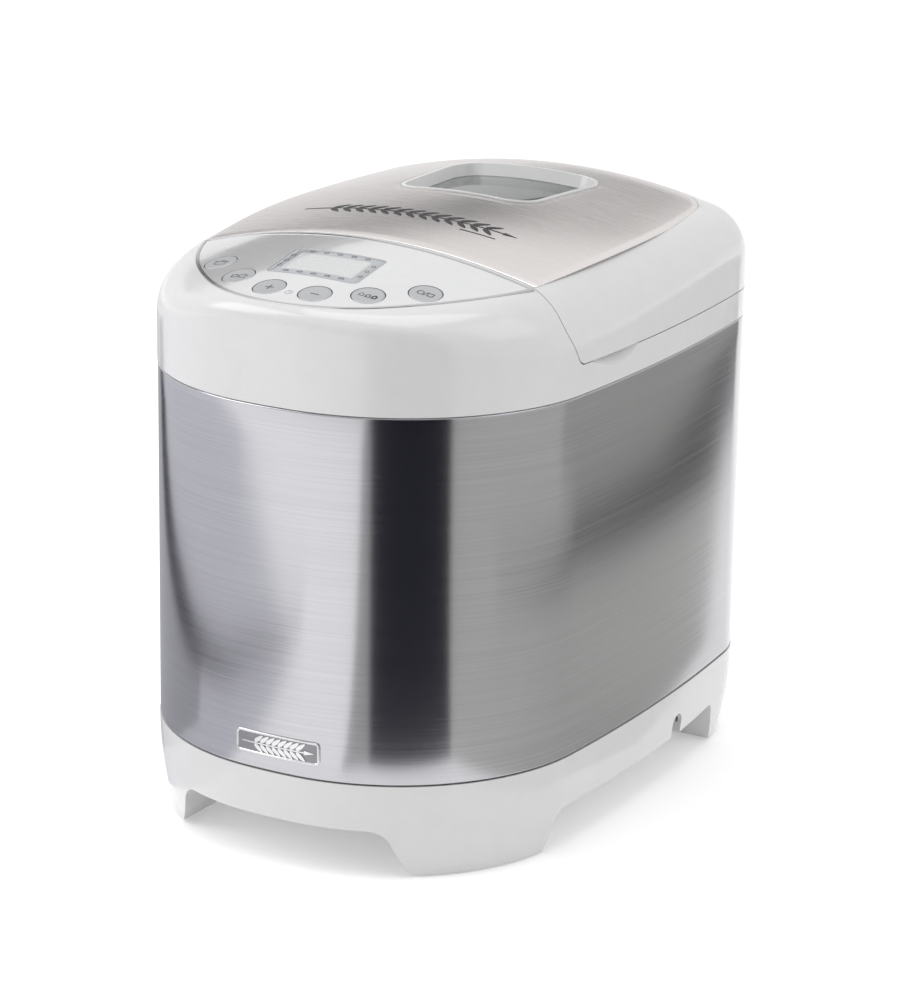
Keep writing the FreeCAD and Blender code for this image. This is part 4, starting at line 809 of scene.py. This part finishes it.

# Painted reflection on the right: grey cards and a dark ribbon, seen only in reflections, paint the
# dark edge up the right side of the steel.
floor_card("right_grey_reflection", 1, [(222, -214), (2650, -1720), (2800, 900), (1500, 2600),
                              (330, 1600), (290, 800), (235, 520), (170, 250), (150, 60)],
           0.56, 0.95)
floor_card("right_far", 2, [(345, 640), (430, 420), (640, 330), (1300, 900), (1300, 2000),
                            (345, 1500)], 0.42, 0.95)
floor_ribbon("right_edge", [(340, 1400), (332, 1000), (322, 800), (330, 600), (380, 450),
                            (424, 320), (480, 200), (540, 40), (565, -160)],
             (70, 80, 100, 120, 105, 85, 65, 45, 20), 0.05)

# The same painted reflection on the left, where the dark edge curves round the front of the steel.
floor_card("left_grey_reflection", 1, [(-100, -190), (-130, -480), (-300, -620), (-700, -900),
                             (-1700, -1100), (-2100, 700), (-1300, 1900), (-500, 1000),
                             (-135, 160)], 0.66, 1.07)
floor_card("left_near", 2, [(-135, -60), (-215, -215), (-330, -250), (-460, -120), (-580, 40),
                            (-720, 200), (-980, 420), (-900, 800), (-500, 560), (-135, 120)],
           0.42, 1.07)
floor_ribbon("left_edge", [(-980, 420), (-860, 320), (-720, 200), (-580, 40), (-460, -120),
                           (-360, -220), (-240, -360), (-120, -540)],
             (140, 140, 130, 120, 100, 80, 50, 20), 0.03, 1.2)

# A grey card far behind on the left, seen only in reflections, paints a darker reflection on the
# left of the panel and of the lid's steel.
studio_backdrop("far_left", -105, -165, 15, 27.3, 3000, 0.16)


LIGHTS_AIM, LIGHTS_AWAY = 150, 2600


def soft_light(name, azimuth, elevation, side, power):
    """A square area light round the machine, azimuth from the front towards the right."""
    data = bpy.data.lights.new(name, "AREA")
    data.shape = "RECTANGLE"
    data.size = side * MM
    data.size_y = side * MM
    data.energy = power
    made = bpy.data.objects.new(name, data)
    bpy.context.scene.collection.objects.link(made)
    a, e = math.radians(azimuth), math.radians(elevation)
    away = Vector((math.sin(a) * math.cos(e), -math.cos(a) * math.cos(e), math.sin(e)))
    made.location = (Vector((0, 0, LIGHTS_AIM)) + away * LIGHTS_AWAY) * MM
    made.rotation_mode = "QUATERNION"
    made.rotation_quaternion = (-away).to_track_quat("-Z", "Y")


soft_light("softbox_left", -55, 35, 1500, 18)
soft_light("softbox_right", 100, 40, 1400, 5)
soft_light("softbox_top", 10, 86, 2200, 26)

world = bpy.data.worlds.new("studio")
bpy.context.scene.world = world
world.use_nodes = True
sky = world.node_tree.nodes["Background"]
sky.inputs["Color"].default_value = (1, 1, 1, 1)
sky.inputs["Strength"].default_value = 0.80
bpy.context.scene.view_settings.view_transform = "Standard"

CAMERA_PLACE = (906.6, -1570.7, 698.5)
CAMERA_AZIMUTH, CAMERA_ELEVATION, CAMERA_ROLL = 29.746, 16.868, 0.999
SENSOR_WIDTH, LENS = 36, 127.83


def studio_camera():
    """The camera, which looks down at the machine from the front and right."""
    data = bpy.data.cameras.new("camera")
    made = bpy.data.objects.new("camera", data)
    bpy.context.scene.collection.objects.link(made)
    azimuth, elevation = math.radians(CAMERA_AZIMUTH), math.radians(CAMERA_ELEVATION)
    roll = math.radians(CAMERA_ROLL)
    back = Vector((math.sin(azimuth) * math.cos(elevation),
                   -math.cos(azimuth) * math.cos(elevation), math.sin(elevation)))
    right = Vector((math.cos(azimuth), math.sin(azimuth), 0))
    over = back.cross(right)
    side_way = right * math.cos(roll) + over * math.sin(roll)
    up_way = over * math.cos(roll) - right * math.sin(roll)
    turned = Matrix((side_way, up_way, back)).transposed().to_4x4()
    made.matrix_world = Matrix.Translation(Vector(CAMERA_PLACE) * MM) @ turned
    data.sensor_width = SENSOR_WIDTH
    data.lens = LENS
    data.clip_start = 0.05
    data.clip_end = 60
    bpy.context.scene.camera = made


studio_camera()
